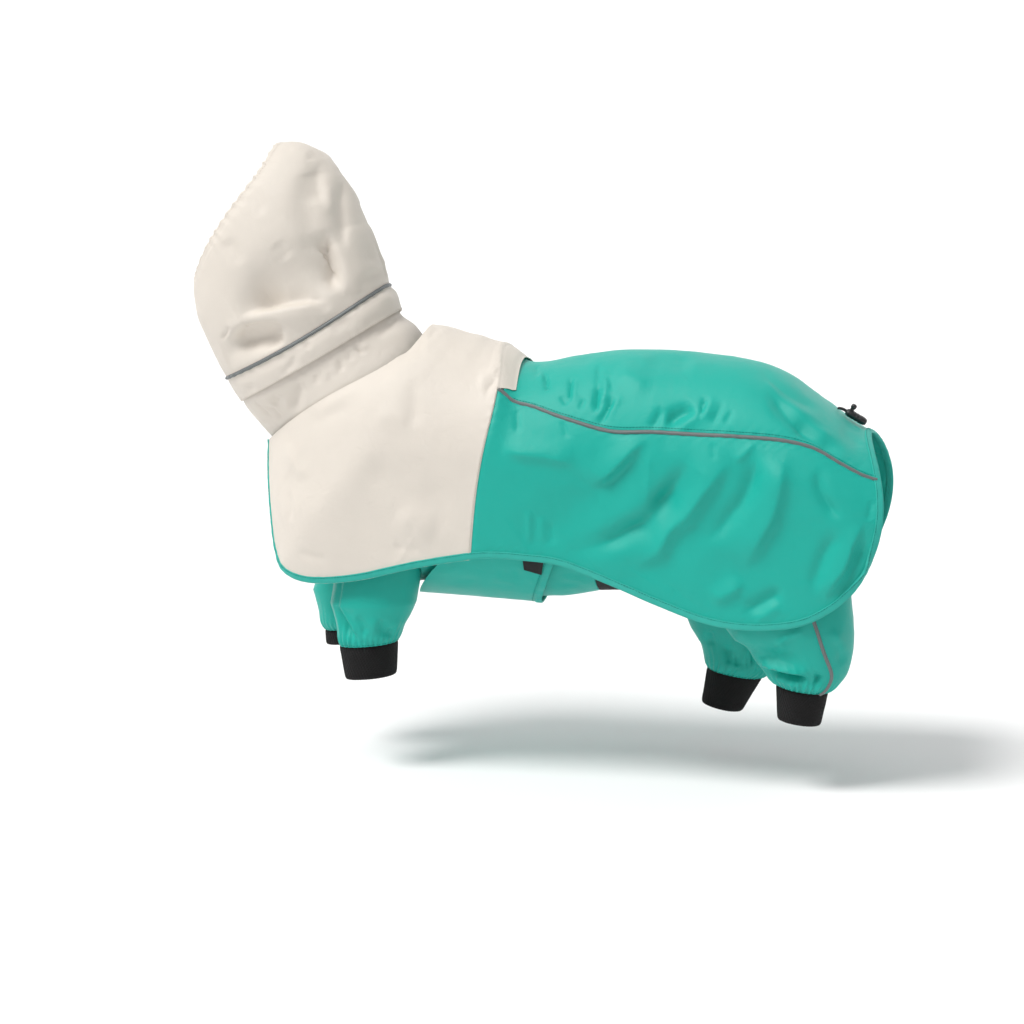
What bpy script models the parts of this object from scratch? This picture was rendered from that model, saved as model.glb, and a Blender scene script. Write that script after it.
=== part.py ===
"""Dog rain suit: a hooded cape over a four-legged under-suit, filled out as worn.

Every cloth piece is a thin wall lofted through sections. A section lies in a plane across
the suit: it starts at a rear point on the suit's middle plane, swings out to a half width
and ends at a front point. Tables of sections are in millimetres. X runs from the hood to
the tail, Y to the suit's right side, Z up. The origin is on the inside of the yoke at the
withers, where the wearer's back holds the suit up.
"""

import math
from collections import namedtuple

import bmesh
import bpy
from mathutils import Vector
from mathutils.bvhtree import BVHTree

MM = 0.001

# Cloth and trims
CLOTH = 1.6
KNIT = 2.2
TAPE = 2.0
SEAM_GAP = 0.3
REST_GAP = 0.5
SEWN_GAP = 0.9  # between the cape's inside and an edge sewn to it
LAYER_GAP = 4.0  # between the cape and what hangs free inside it
BINDING_WIDTH = 8.0
BINDING_THICK = 3.2
BINDING_ROUND = 1.0
PIPING_WIDTH = 4.2
PIPING_HEIGHT = 2.0
PIPING_FRONT_SHORTER = 0.12  # of a cell of the side piping
PIPING_REAR_SHORTER = 0.15
HOOD_PIPING_GAP = 0.9
NECK_BACK = 0.2  # the upper neck band stands this much behind the hood's last section
WRAP_BINDING_SHORTER = 0.35  # of a cell, at each end
TAB_GAP = 0.9

# Cape: cells across each half, spine to piping and piping to hem, and the length of a cell
BACK_CELLS = 4
SIDE_CELLS = 8
CAPE_PITCH = 22.0
HOOD_PITCH = 27.0
NECK_PITCH = 20.0
TROUGH_PITCH = 34.0
FRONT_LEG_PITCH = 12.0
HIND_LEG_PITCH = 22.0
YOKE_END = 8
FLAP_END = 9
FLAP_LIFT_SPINE = 8.0
FLAP_LIFT_SIDE = 4.0
FLAP_SHORTER = 0.33
BACK_START = 8.35

# Tubes: cells round each half
HOOD_CELLS = 20
LEG_SEAM_CELLS = 5
LEG_REST_CELLS = 13
CUFF_CELLS = 10
HOOD_GATHER = 1.3
LEG_GATHER = 1.5
EDGE_GATHER = 0.6  # of a leg's gathers, right at its seam

SAMPLES = 48  # points that stand for a section while it is measured
SHARP_ANGLE = math.radians(40)

# A section leans back by bow at its middle and by dip a fifth of the way from its rear point
Section = namedtuple(
    "Section",
    "rear_x rear_z front_x front_z half wide_at end_half seam_at bow dip crown foot",
    defaults=(0.5, 0.0, 0.3, 0.0, 0.0, 2.1, 2.2),
)

# Hood, face edge first, then down to the reflective piping
HOOD = [
    Section(-220, 208, -312, 54, 58, 0.5, 0, 0.3, -2, 7),
    Section(-194, 209, -313, 43, 68, 0.5, 0, 0.3, -1, 5),
    Section(-166, 195, -311, 28, 76, 0.5, 0, 0.3, 0, 2),
    Section(-141, 166, -308, 13, 81, 0.5, 0, 0.3, 1),
    Section(-123, 128, -300, -5, 83, 0.5, 0, 0.3, 2),
    Section(-111, 95, -291, -24, 82, 0.5, 0, 0.3, 3),
    Section(-103, 74, -284, -38, 80, 0.5, 0, 0.3, 5),
    Section(-97, 54, -277, -50, 77, 0.5, 0, 0.3, 7),
]
# Upper neck band, piping to tuck
NECK_UPPER = [
    Section(-97, 54, -277, -50, 77, 0.5, 0, 0.3, 7),
    Section(-88, 42, -270, -63, 79, 0.5, 0, 0.3, 5),
    Section(-83, 27, -261, -76, 77, 0.5, 0, 0.3, 3),
]
# Lower neck band, from inside the tuck to inside the yoke's neck edge
NECK_LOWER = [
    Section(-89, 29, -261, -70, 73, 0.5, 0, 0.3, 3),
    Section(-83, 21, -255, -83, 73, 0.5, 0, 0.3, 2),
    Section(-69, 11, -242.5, -100, 73, 0.5, 0, 0.3, 0, 3, 2.1, 1.8),
    Section(-57, -4, -228.0, -117.0, 76.6, 0.48, 0, 0.3, 0, 8, 2.1, 1.6),
]
# Cape, neck edge to rear edge; the front end of each section lies on the hem
CAPE = [
    Section(-48, 12, -232, -119, 79, 0.48, 6, 0.28, -2, 11, 2.1, 1.7),
    Section(-41, 11, -230.5, -158, 90, 0.45, 15, 0.25, -1, 8, 2.1, 1.8),
    Section(-32, 10, -225.5, -197, 99, 0.43, 27, 0.22, 0, 5, 2.1, 2.0),
    Section(-21, 7, -217, -237, 106, 0.41, 42, 0.20, 0, 4, 2.1, 2.3),
    Section(-8, 3, -202, -257, 110, 0.42, 64, 0.19, 0, 5, 2.1, 2.5),
    Section(6, 0, -167, -264, 112, 0.44, 86, 0.18, 0, 6, 2.1, 2.6),
    Section(17, -4, -110, -257, 113, 0.46, 101, 0.18, 0, 7, 2.1, 2.5),
    Section(25, -6, -47, -241, 113, 0.50, 106, 0.18, 0, 9, 2.1, 2.4),
    Section(34, -9, 15, -229, 113, 0.53, 109, 0.172, 0, 10, 2.1, 2.2),
    Section(54, -26, 38, -227, 113, 0.53, 109, 0.168, 0, 7, 2.1, 2.2),
    Section(77, -27, 68, -228, 113, 0.53, 109, 0.19, 0, 5, 2.1, 2.2),
    Section(111, -20, 112, -233, 113, 0.53, 109, 0.26, 0, 3, 2.1, 2.2),
    Section(160, -13, 166, -252, 113, 0.49, 110, 0.31, 0, 1, 2.1, 2.2),
    Section(209, -12, 214, -271, 114, 0.46, 112, 0.29, 0, 0, 2.1, 2.2),
    Section(258, -15, 268, -289, 116, 0.44, 115, 0.27, 0, 0, 2.1, 2.2),
    Section(306, -22, 317, -294, 119, 0.43, 118, 0.25, 0, 0, 2.1, 2.2),
    Section(341, -35, 366, -288, 121, 0.44, 120, 0.23, 2, 0, 2.1, 2.2),
    Section(369, -54, 399, -272, 121, 0.48, 119, 0.22, 6, 0, 2.1, 2.2),
    Section(393, -72, 419, -255, 119, 0.55, 117, 0.25, 10, 0, 2.1, 2.2),
    Section(414, -87.5, 430, -241, 116, 0.62, 114, 0.275, 14, 0, 2.1, 2.2),
    Section(433, -97, 437, -227, 113, 0.70, 111, 0.295, 17, 0, 2.1, 2.2),
]
# Under-suit troughs: here the rear point is the bottom and the front point the sewn top edge
CHEST_PANEL = [
    Section(-219, -130, -156, -84, 62, 1.0, 62, 0.5, 0, 0, 1.9),
    Section(-219, -162, -162, -106, 78, 1.0, 78, 0.5, 0, 0, 1.9),
    Section(-209, -203, -157, -134, 88, 1.0, 88, 0.5, 0, 0, 1.9),
    Section(-190, -238, -148, -158, 94, 1.0, 94, 0.5, 0, 0, 1.9),
    Section(-158, -262, -127, -176, 98, 1.0, 98, 0.5, 0, 0, 1.9),
    Section(-110, -272, -95, -180, 99, 1.0, 99, 0.5, 0, 0, 1.9),
    Section(-66, -272, -34, -176, 98, 1.0, 98, 0.5, 0, 0, 1.8),
    Section(-30, -268, 56, -172, 97, 1.0, 97, 0.5, 0, 0, 1.75),
]
BELLY_WRAP = [
    Section(-61, -285, 58, -192, 105, 1.0, 105, 0.5, 15, 0, 1.85),
    Section(-14, -287, 70, -188, 105, 1.0, 105, 0.5, 5, 0, 1.85),
    Section(28, -289, 88, -186, 105, 1.0, 105, 0.5, 0, 0, 1.85),
    Section(69, -291, 115, -186, 105, 1.0, 105, 0.5, 0, 0, 1.85),
]
BELLY_REAR = [
    Section(62, -286, 88, -168, 100, 1.0, 100, 0.5, 0, 0, 1.8),
    Section(102, -284, 114, -166, 101, 1.0, 101, 0.5, 0, 0, 1.8),
    Section(128, -279.5, 132, -166, 102, 1.0, 102, 0.5, 0, 0, 1.8),
    Section(141, -276.5, 143, -168, 103, 1.0, 103, 0.5, 0, 0, 1.8),
]
BELLY_ELASTIC = [
    Section(141.5, -276.4, 143.5, -168, 103, 1.0, 103, 0.5, 0, 0, 1.8),
    Section(162, -275.5, 163, -172, 103, 1.0, 103, 0.5, 0, 0, 1.8),
]
# Legs, top to cuff seam. The front legs' tops are trimmed against the chest panel
FRONT_LEG_LEFT = [
    Section(-56, -287, -151, -290, 37),
    Section(-65, -305, -146, -307, 35),
    Section(-74, -321, -143, -323, 31.5),
    Section(-77, -331, -141, -337, 29),
]
FRONT_LEG_RIGHT = [
    Section(-98, -288, -197, -296, 35),
    Section(-107, -309, -191, -315, 34),
    Section(-116, -324, -187, -331, 32),
    Section(-121, -333, -183, -341, 29),
]
HIND_LEG_LEFT = [
    Section(408, -205, 262, -230, 40, 0.5, 0, 0.30),
    Section(416, -250, 272, -272, 42, 0.5, 0, 0.30),
    Section(421, -291, 289, -304, 42, 0.5, 0, 0.27),
    Section(421, -319, 310, -322, 38, 0.5, 0, 0.25),
    Section(414, -347, 327, -343, 34, 0.5, 0, 0.16),
    Section(396, -366, 340, -358, 29, 0.5, 0, 0.15),
]
HIND_LEG_RIGHT = [
    Section(378, -205, 218, -232, 40, 0.5, 0, 0.30),
    Section(368, -255, 220, -280, 42, 0.5, 0, 0.30),
    Section(356, -304, 228, -320, 42, 0.5, 0, 0.27),
    Section(345, -340, 242, -344, 37, 0.5, 0, 0.25),
    Section(331, -366, 249, -363, 33, 0.5, 0, 0.16),
    Section(313, -384, 251, -373, 29, 0.5, 0, 0.15),
]
# Cuffs, seam to open end
FRONT_CUFF_LEFT = [
    Section(-77.3, -331.6, -141, -337.6, 28),
    Section(-79, -368, -135, -374, 26),
]
FRONT_CUFF_RIGHT = [
    Section(-121.3, -333.6, -183, -341.6, 28),
    Section(-122.5, -351, -182, -358, 26.5),
]
HIND_CUFF_LEFT = [
    Section(395.6, -366.6, 340.2, -358.8, 27),
    Section(388, -402, 342, -396, 24),
]
HIND_CUFF_RIGHT = [
    Section(312.6, -384.6, 251, -373.8, 27),
    Section(290, -423, 245, -413, 24),
]
# How far each pair of legs stands from the middle plane
FRONT_STANCE = 53
HIND_STANCE = 72
ARMHOLE_REACH = 40
ARMHOLE_SHARE = 0.93  # of the leg's inside width
LEG_BACK = {"left": 0.15, "right": 0.35}  # how far back each front leg leans as it rises
LEG_IN = 0.12  # and how far in

# Soft folds: where each starts and ends in the side view, how far it bows, its half width
# and its height, which is negative for a hollow
Fold = namedtuple("Fold", "x0 z0 x1 z1 bow width height")
HOOD_FOLDS = [
    Fold(-243, 20, -150, 85, 12, 24, -7),
    Fold(-262, 8, -138, 28, 4, 10, 4),
    Fold(-268, -22, -196, 2, 6, 13, -6),
    Fold(-172, 178, -156, 96, -6, 14, -4),
    Fold(-128, 120, -118, 52, 4, 12, 3),
]
CAPE_FOLDS = [
    Fold(302, -92, 150, -232, -14, 24, 4),
    Fold(196, -110, 70, -205, 10, 26, -4),
    Fold(352, -120, 250, -262, -16, 24, 3.5),
    Fold(262, -128, 200, -240, -8, 20, -3),
    Fold(-190, -140, -60, -225, 12, 30, -4),
    Fold(-210, -190, -90, -110, -18, 26, 3),
]
LEG_FOLDS = [
    Fold(296, -318, 372, -336, 6, 9, -4),
    Fold(300, -296, 352, -348, -6, 10, 3),
    Fold(-132, -286, -108, -334, -5, 8, -3),
    Fold(234, -338, 286, -362, 5, 9, -3.5),
    Fold(-178, -300, -152, -338, -5, 8, -3),
]
FAR_SIDE_SHIFT = 11.0  # the far side's folds lie this much further back
FAR_SIDE_SHARE = 0.85

# Straps at the belly wrap's rear edge, and the drawcord's lock on the rump
TAB_FRONT = ((69, -206), (69.5, -242))
TAB_REAR = ((98, -206), (88, -247.5))
TAB_CELLS_DOWN = 5
TAB_CELLS_ACROSS = 3
FAR_OUT = 200  # outside every piece
LOCK_FRONT = (404.5, -73.8)
LOCK_REAR = (426.5, -86.3)
LOCK_HALF_WIDTH = 6.5
LOCK_HALF_HEIGHT = 4.4
BUTTON_RADIUS = 3.1
BUTTON_HEIGHT = 6.5
BUTTON_BACK = 5.0  # from the lock's front end
CORD_RADIUS = 1.6
CORD_RUN = 9.0  # drawcord that shows in front of the lock
CORD_RISE = 1.0


def colour(name, rgb, roughness, metallic=0.0):
    """A plain material."""
    material = bpy.data.materials.new(name)
    material.use_nodes = True
    shader = material.node_tree.nodes["Principled BSDF"]
    shader.inputs["Base Color"].default_value = (*rgb, 1)
    shader.inputs["Roughness"].default_value = roughness
    shader.inputs["Metallic"].default_value = metallic
    return material


def between(rows, position):
    """The section at a position along a table, on a smooth curve through its rows."""
    i = min(int(position), len(rows) - 2)
    t = position - i
    rows_about = [rows[min(max(i + k, 0), len(rows) - 1)] for k in (-1, 0, 1, 2)]

    def smooth(p, q, r, u):
        turn = (2 * p - 5 * q + 4 * r - u) * t * t + (3 * q - p - 3 * r + u) * t**3
        return q + 0.5 * ((r - p) * t + turn)

    return Section(*(smooth(*column) for column in zip(*rows_about)))


def outline(section):
    """The section's half outline: distances along it, out from the middle plane."""
    length = math.hypot(
        section.front_x - section.rear_x, section.front_z - section.rear_z
    )
    wide = section.wide_at * length
    steps = [math.pi / 2 * k / SAMPLES for k in range(SAMPLES + 1)]
    crown = 2 / section.crown
    points = [
        (wide * (1 - math.cos(a) ** crown), section.half * math.sin(a) ** crown)
        for a in steps
    ]
    if section.wide_at < 0.999:
        foot = 2 / section.foot
        end_share = max(section.end_half, 0.0) / section.half
        end_angle = math.asin(min(1.0, end_share ** (1 / foot)))
        reach = (length - wide) / math.cos(end_angle) ** foot
        for k in range(1, SAMPLES + 1):
            a = math.pi / 2 - (math.pi / 2 - end_angle) * k / SAMPLES
            points.append(
                (wide + reach * math.cos(a) ** foot, section.half * math.sin(a) ** foot)
            )
    return length, points


def spaced(section, seam_cells, rest_cells):
    """Points along the half outline: equal cells up to the seam, then equal cells to the end."""
    length, points = outline(section)
    travelled = [0.0]
    for a, b in zip(points, points[1:]):
        travelled.append(travelled[-1] + math.dist(a, b))
    seam_depth = section.seam_at * length
    before = next(k for k, p in enumerate(points) if p[0] > seam_depth) - 1
    share = (seam_depth - points[before][0]) / (
        points[before + 1][0] - points[before][0]
    )
    seam = travelled[before] + share * (travelled[before + 1] - travelled[before])
    wanted = [seam * k / seam_cells for k in range(seam_cells)]
    wanted += [
        seam + (travelled[-1] - seam) * k / rest_cells for k in range(rest_cells + 1)
    ]
    found = []
    k = 0
    for distance in wanted:
        while k < len(points) - 2 and travelled[k + 1] < distance:
            k += 1
        t = (distance - travelled[k]) / (travelled[k + 1] - travelled[k])
        found.append(
            tuple(points[k][n] + t * (points[k + 1][n] - points[k][n]) for n in (0, 1))
        )
    return length, found


def in_space(section, length, along, out, middle_y=0.0):
    """A point of a section, from its distance along and out from the middle plane."""
    rear = Vector((section.rear_x, 0, section.rear_z))
    front = Vector((section.front_x, 0, section.front_z))
    line = (front - rear) / length
    t = along / length
    back = section.bow * 4 * t * (1 - t) + section.dip * t * (1 - t) ** 4 / 0.2 / 0.8**4
    return (
        rear
        + line * along
        + Vector((-line.z * back, out + middle_y, line.x * back))
    )


def arch(section, seam_cells, rest_cells):
    """An open section as points from its left end over the middle to its right end."""
    length, half = spaced(section, seam_cells, rest_cells)
    right = [in_space(section, length, a, y) for a, y in half]
    left = [in_space(section, length, a, -y) for a, y in half[1:]]
    return left[::-1] + right


def ring(section, seam_cells, rest_cells, middle_y=0.0):
    """A closed section as points round from its rear point, over its right side."""
    length, half = spaced(section, seam_cells, rest_cells)
    right = [in_space(section, length, a, y, middle_y) for a, y in half]
    left = [in_space(section, length, a, -y, middle_y) for a, y in half[1:-1]]
    return right + left[::-1]


def stations(rows, pitch, start=0.0, end=None):
    """Positions along a table that split each of its intervals into cells of about one pitch."""
    end = len(rows) - 1 if end is None else end
    found = [float(start)]
    while found[-1] < end - 1e-6:
        low = found[-1]
        high = min(math.floor(low + 1e-6) + 1, end)
        a, b = between(rows, low), between(rows, high)
        aside = a.end_half - b.end_half
        span = max(math.dist(a[0:2], b[0:2]), math.hypot(math.dist(a[2:4], b[2:4]), aside))
        cells = max(1, round(span / pitch))
        found += [low + (high - low) * (k + 1) / cells for k in range(cells)]
    return found


def normals(grid, around):
    """Outward unit normals of a grid, each shared with its neighbours by their area."""
    rows, columns = len(grid), len(grid[0])

    def beside(j, step):
        return (j + step) % columns if around else min(max(j + step, 0), columns - 1)

    areas = []
    for i in range(rows):
        above, below = grid[max(i - 1, 0)], grid[min(i + 1, rows - 1)]
        line = []
        for j in range(columns):
            over = grid[i][beside(j, 1)] - grid[i][beside(j, -1)]
            line.append((below[j] - above[j]).cross(over))
        areas.append(line)
    found = []
    for i in range(rows):
        near = areas[max(i - 1, 0) : i + 2]
        found.append(
            [
                sum((line[beside(j, k)] for line in near for k in (-1, 0, 1)), Vector())
                .normalized()
                for j in range(columns)
            ]
        )
    return found


def fold_height(point, folds):
    """How far the folds of a table lift the cloth at a point."""
    far = point.y > 0
    x = point.x - (FAR_SIDE_SHIFT if far else 0)
    height = 0.0
    for fold in folds:
        run = Vector((fold.x1 - fold.x0, fold.z1 - fold.z0))
        to_point = Vector((x - fold.x0, point.z - fold.z0))
        t = to_point.dot(run) / run.length_squared
        if 0 < t < 1:
            side = (run.x * to_point.y - run.y * to_point.x) / run.length
            away = (side - 4 * fold.bow * t * (1 - t)) / fold.width
            height += fold.height * math.exp(-away * away) * math.sqrt(4 * t * (1 - t))
    return height * (FAR_SIDE_SHARE if far else 1.0)


def folded(grid, folds, around):
    """A grid with its folds raised, except on its first and last rows."""
    out = normals(grid, around)
    last = len(grid) - 1
    return [
        [
            p + out[i][j] * (fold_height(p, folds) if 0 < i < last else 0.0)
            for j, p in enumerate(line)
        ]
        for i, line in enumerate(grid)
    ]


def gathered(grid, rows_and_heights, around=True):
    """A grid with every other column raised and the rest sunk, by a height for each row."""
    out = normals(grid, around)
    heights = dict(rows_and_heights)
    return [
        [
            p + out[i][j] * (heights.get(i, 0.0) * (1 if j % 2 else -1))
            for j, p in enumerate(line)
        ]
        for i, line in enumerate(grid)
    ]


def add_object(name, vertices, faces, material):
    """A named object from points in millimetres."""
    mesh = bpy.data.meshes.new(name)
    mesh.from_pydata([tuple(v * MM) for v in vertices], [], faces)
    made = bpy.data.objects.new(name, mesh)
    bpy.context.scene.collection.objects.link(made)
    form = bmesh.new()
    form.from_mesh(mesh)
    if form.calc_volume(signed=True) < 0:
        bmesh.ops.reverse_faces(form, faces=form.faces)
    bmesh.ops.triangulate(form, faces=form.faces, quad_method="SHORT_EDGE")
    form.to_mesh(mesh)
    form.free()
    mesh.materials.append(material)
    mesh.shade_smooth()
    mesh.set_sharp_from_angle(angle=SHARP_ANGLE)
    return made


def wall(name, outer, inner, material, around=False, keep=None):
    """A cloth wall between two grids, closed along its free edges. keep(i, j) picks its cells."""
    rows, columns = len(outer), len(outer[0])
    cells = [
        (i, j)
        for i in range(rows - 1)
        for j in range(columns if around else columns - 1)
        if keep is None or keep(i, j)
    ]
    index = {}
    vertices = []

    def vertex(layer, i, j):
        key = (layer, i, j % columns)
        if key not in index:
            index[key] = len(vertices)
            vertices.append((outer, inner)[layer][i][j % columns])
        return index[key]

    faces = []
    edges = {}
    for i, j in cells:
        corners = [(i, j), (i + 1, j), (i + 1, j + 1), (i, j + 1)]
        faces.append([vertex(0, *c) for c in corners])
        faces.append([vertex(1, *c) for c in reversed(corners)])
        for a, b in zip(corners, corners[1:] + corners[:1]):
            a, b = (a[0], a[1] % columns), (b[0], b[1] % columns)
            if (b, a) in edges:
                del edges[(b, a)]
            else:
                edges[(a, b)] = True
    for a, b in edges:
        faces.append([vertex(0, *b), vertex(0, *a), vertex(1, *a), vertex(1, *b)])
    return add_object(name, vertices, faces, material)


def moved_in(grid, out, distance):
    """A grid moved in against its normals."""
    return [
        [p - n * distance for p, n in zip(line, lines)]
        for line, lines in zip(grid, out)
    ]


def sweep(name, loops, material, closed=False):
    """A solid swept through loops of points, closed on itself or capped at its ends."""
    size = len(loops[0])
    vertices = [p for loop in loops for p in loop]
    count = len(loops)
    faces = []
    for k in range(count if closed else count - 1):
        a, b = k * size, (k + 1) % count * size
        for n in range(size):
            m = (n + 1) % size
            faces.append([a + n, a + m, b + m, b + n])
    if not closed:
        faces.append(list(range(size))[::-1])
        faces.append([(count - 1) * size + n for n in range(size)])
    return add_object(name, vertices, faces, material)


def strip_along(name, path, out, material, gap=REST_GAP, closed=False):
    """A half-round cord lying along a path of points, raised by a gap along their normals."""
    half = PIPING_WIDTH / 2
    shape = [(-1, 0), (-1, 0.35), (-0.21, 1), (0.21, 1), (1, 0.35), (1, 0)]
    profile = [(a * half, b * PIPING_HEIGHT) for a, b in shape]
    loops = []
    count = len(path)
    for k, (point, up) in enumerate(zip(path, out)):
        after = path[(k + 1) % count if closed else min(k + 1, count - 1)]
        ahead = (after - path[k - 1 if closed or k else 0]).normalized()
        side = up.cross(ahead).normalized()
        base = point + up * gap
        loops.append([base + side * a + up * b for a, b in profile])
    return sweep(name, loops, material, closed)


class Surface:
    """The faces of one or more grids, to measure other pieces against."""

    def __init__(self, grid, around=False):
        columns = len(grid[0])
        vertices = [p for line in grid for p in line]
        faces = [
            [
                i * columns + j,
                (i + 1) * columns + j,
                (i + 1) * columns + (j + 1) % columns,
                i * columns + (j + 1) % columns,
            ]
            for i in range(len(grid) - 1)
            for j in range(columns if around else columns - 1)
        ]
        self.tree = BVHTree.FromPolygons(vertices, faces)

    def kept_inside(self, point, margin, within=45.0):
        """The point, moved in where it is closer than the margin to the surface's inner face."""
        near, out, _, _ = self.tree.find_nearest(point, within)
        if near is None:
            return point
        depth = (point - near).dot(out)
        return point - out * (depth + margin) if depth > -margin else point

    def seated_inside(self, point, margin):
        """The surface's nearest place to a point, moved in by the margin."""
        near, out, _, _ = self.tree.find_nearest(point)
        return near - out * margin

    def met_from(self, point, direction, gap):
        """Where a line from a point meets the surface, short of it by the gap."""
        hit = self.tree.ray_cast(point, direction.normalized())[0]
        return hit - direction.normalized() * gap


def cape_cloth():
    """The cape's whole outer grid with its folds, its normals and its stations."""
    places = stations(CAPE, CAPE_PITCH, 0, YOKE_END)
    places += [BACK_START]
    places += stations(CAPE, CAPE_PITCH, FLAP_END)
    grid = [arch(between(CAPE, s), BACK_CELLS, SIDE_CELLS) for s in places]
    grid = folded(grid, CAPE_FOLDS, False)
    return grid, normals(grid, False), places


def hem_path(grid, out):
    """The cape's free edge, left throat to right throat, as points, normals and grid places."""
    last_row, last_column = len(grid) - 1, len(grid[0]) - 1
    places = [(i, 0) for i in range(last_row)]
    places += [(last_row, j) for j in range(last_column)]
    places += [(i, last_column) for i in range(last_row, -1, -1)]
    return (
        [grid[i][j] for i, j in places],
        [out[i][j] for i, j in places],
        places,
    )


def inward(path, out):
    """Unit directions into the cloth from its free edge."""
    found = []
    for k, up in enumerate(out):
        ahead = path[min(k + 1, len(path) - 1)] - path[max(k - 1, 0)]
        found.append(up.cross(ahead).normalized())
    return found


def make_cape(cream, teal, grey):
    """Yoke with its back flap, back and side panels, side piping and the hem binding."""
    grid, out, places = cape_cloth()
    path, path_out, edge_places = hem_path(grid, out)
    into = inward(path, path_out)
    trimmed = [list(line) for line in grid]
    for (i, j), point, direction in zip(edge_places, path, into):
        trimmed[i][j] = point + direction * (BINDING_WIDTH + SEAM_GAP)
    for line in trimmed:
        line[1] = (line[0] + line[2]) / 2
        line[-2] = (line[-1] + line[-3]) / 2
    trimmed[-2] = [(a + b) / 2 for a, b in zip(trimmed[-3], trimmed[-1])]
    middle = len(grid[0]) // 2
    left_seam, right_seam = middle - BACK_CELLS, middle + BACK_CELLS
    yoke_row = places.index(YOKE_END)
    flap_row = places.index(FLAP_END)
    back_row = places.index(BACK_START)

    def cut(rows, columns):
        return [trimmed[i][columns] for i in rows], [out[i][columns] for i in rows]

    # Yoke: its flap runs on over the back panel, lifted clear of it and a little narrower
    rows = range(flap_row + 1)
    yoke, yoke_out = cut(rows, slice(None))
    for i in range(yoke_row + 1, flap_row + 1):
        share = math.sqrt(places[i] - YOKE_END)
        line = list(yoke[i])
        for j in range(left_seam, right_seam + 1):
            aside = abs(j - middle) / BACK_CELLS
            lift = FLAP_LIFT_SPINE + (FLAP_LIFT_SIDE - FLAP_LIFT_SPINE) * aside
            line[j] = yoke[i][j] + yoke_out[i][j] * lift * share
        for j, toward in ((left_seam, 1), (right_seam, -1)):
            line[j] = line[j].lerp(line[j + toward], FLAP_SHORTER)
        yoke[i] = line
    wall(
        "yoke",
        yoke,
        moved_in(yoke, yoke_out, CLOTH),
        cream,
        keep=lambda i, j: i < yoke_row or left_seam <= j < right_seam,
    )

    # Panels of the back, each parted from its neighbours by the seam gap
    rows = range(back_row, len(grid))
    back, back_out = cut(rows, slice(left_seam, right_seam + 1))
    for line in back:
        line[0] = line[0] + (line[1] - line[0]).normalized() * SEAM_GAP
        line[-1] = line[-1] + (line[-2] - line[-1]).normalized() * SEAM_GAP
    wall("back_panel", back, moved_in(back, back_out, CLOTH), teal)
    rows = range(yoke_row, len(grid))
    for side, columns in (
        ("left", slice(0, left_seam + 1)),
        ("right", slice(right_seam, None)),
    ):
        panel, panel_out = cut(rows, columns)
        panel = [list(line) for line in panel]
        panel[0] = [
            a + (b - a).normalized() * SEAM_GAP for a, b in zip(panel[0], panel[1])
        ]
        wall(
            f"side_panel_{side}",
            panel,
            moved_in(panel, panel_out, CLOTH),
            teal,
        )
        seam = left_seam if side == "left" else right_seam
        seam_path = [trimmed[i][seam] for i in rows]
        seam_path[0] = seam_path[0].lerp(seam_path[1], PIPING_FRONT_SHORTER)
        seam_path[-1] = seam_path[-1].lerp(seam_path[-2], PIPING_REAR_SHORTER)
        strip_along(
            f"side_piping_{side}", seam_path, [out[i][seam] for i in rows], grey
        )

    # Binding round the free edge
    half = BINDING_THICK / 2
    profile = [
        (BINDING_WIDTH, half),
        (BINDING_ROUND, half),
        (0.0, half - BINDING_ROUND),
        (0.0, BINDING_ROUND - half),
        (BINDING_ROUND, -half),
        (BINDING_WIDTH, -half),
    ]
    loops = [
        [
            point + direction * a + up * (b - CLOTH / 2)
            for a, b in profile
        ]
        for point, up, direction in zip(path, path_out, into)
    ]
    sweep("hem_binding", loops, teal)
    return Surface(moved_in(grid, out, CLOTH))


def tube(name, grid, material):
    """A closed cloth tube inside a grid of rings."""
    wall(name, grid, moved_in(grid, normals(grid, True), CLOTH), material, around=True)


def make_hood_and_neck(cream, grey):
    """Hood with its gathered face edge, its piping, and the two neck bands."""
    cells = (HOOD_CELLS // 4, HOOD_CELLS - HOOD_CELLS // 4)
    hood = [ring(between(HOOD, s), *cells) for s in stations(HOOD, HOOD_PITCH)]
    hood = gathered(folded(hood, HOOD_FOLDS, True), [(0, HOOD_GATHER), (1, HOOD_GATHER / 2)])
    tube("hood", hood, cream)
    upper = [row._replace(rear_x=row.rear_x + NECK_BACK) for row in NECK_UPPER]
    upper[0] = upper[0]._replace(rear_z=NECK_UPPER[0].rear_z - SEAM_GAP)
    upper[0] = upper[0]._replace(front_z=NECK_UPPER[0].front_z - SEAM_GAP)
    rings = [ring(between(upper, s), *cells) for s in stations(upper, NECK_PITCH)]
    tube("neck_upper", rings, cream)
    rings = [ring(between(NECK_LOWER, s), *cells) for s in stations(NECK_LOWER, NECK_PITCH)]
    tube("neck_lower", rings, cream)
    seam = [ring(row, *cells) for row in (HOOD[-2], HOOD[-1], NECK_UPPER[1])]
    strip_along(
        "hood_piping", seam[1], normals(seam, True)[1], grey, HOOD_PIPING_GAP, closed=True
    )


def trough(name, rows, cape, material, thick=CLOTH, cells=8):
    """A U-shaped under-suit panel whose two top edges are sewn to the cape's inside."""
    grid = []
    for s in stations(rows, TROUGH_PITCH):
        line = arch(between(rows, s), cells // 2, cells // 2)[::-1]
        line = [cape.kept_inside(p, LAYER_GAP) for p in line]
        for j in (0, -1):
            line[j] = cape.seated_inside(line[j], SEWN_GAP)
        grid.append(line)
    out = normals(grid, False)
    inner = moved_in(grid, out, thick)
    return wall(name, grid, inner, material), grid, out


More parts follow.
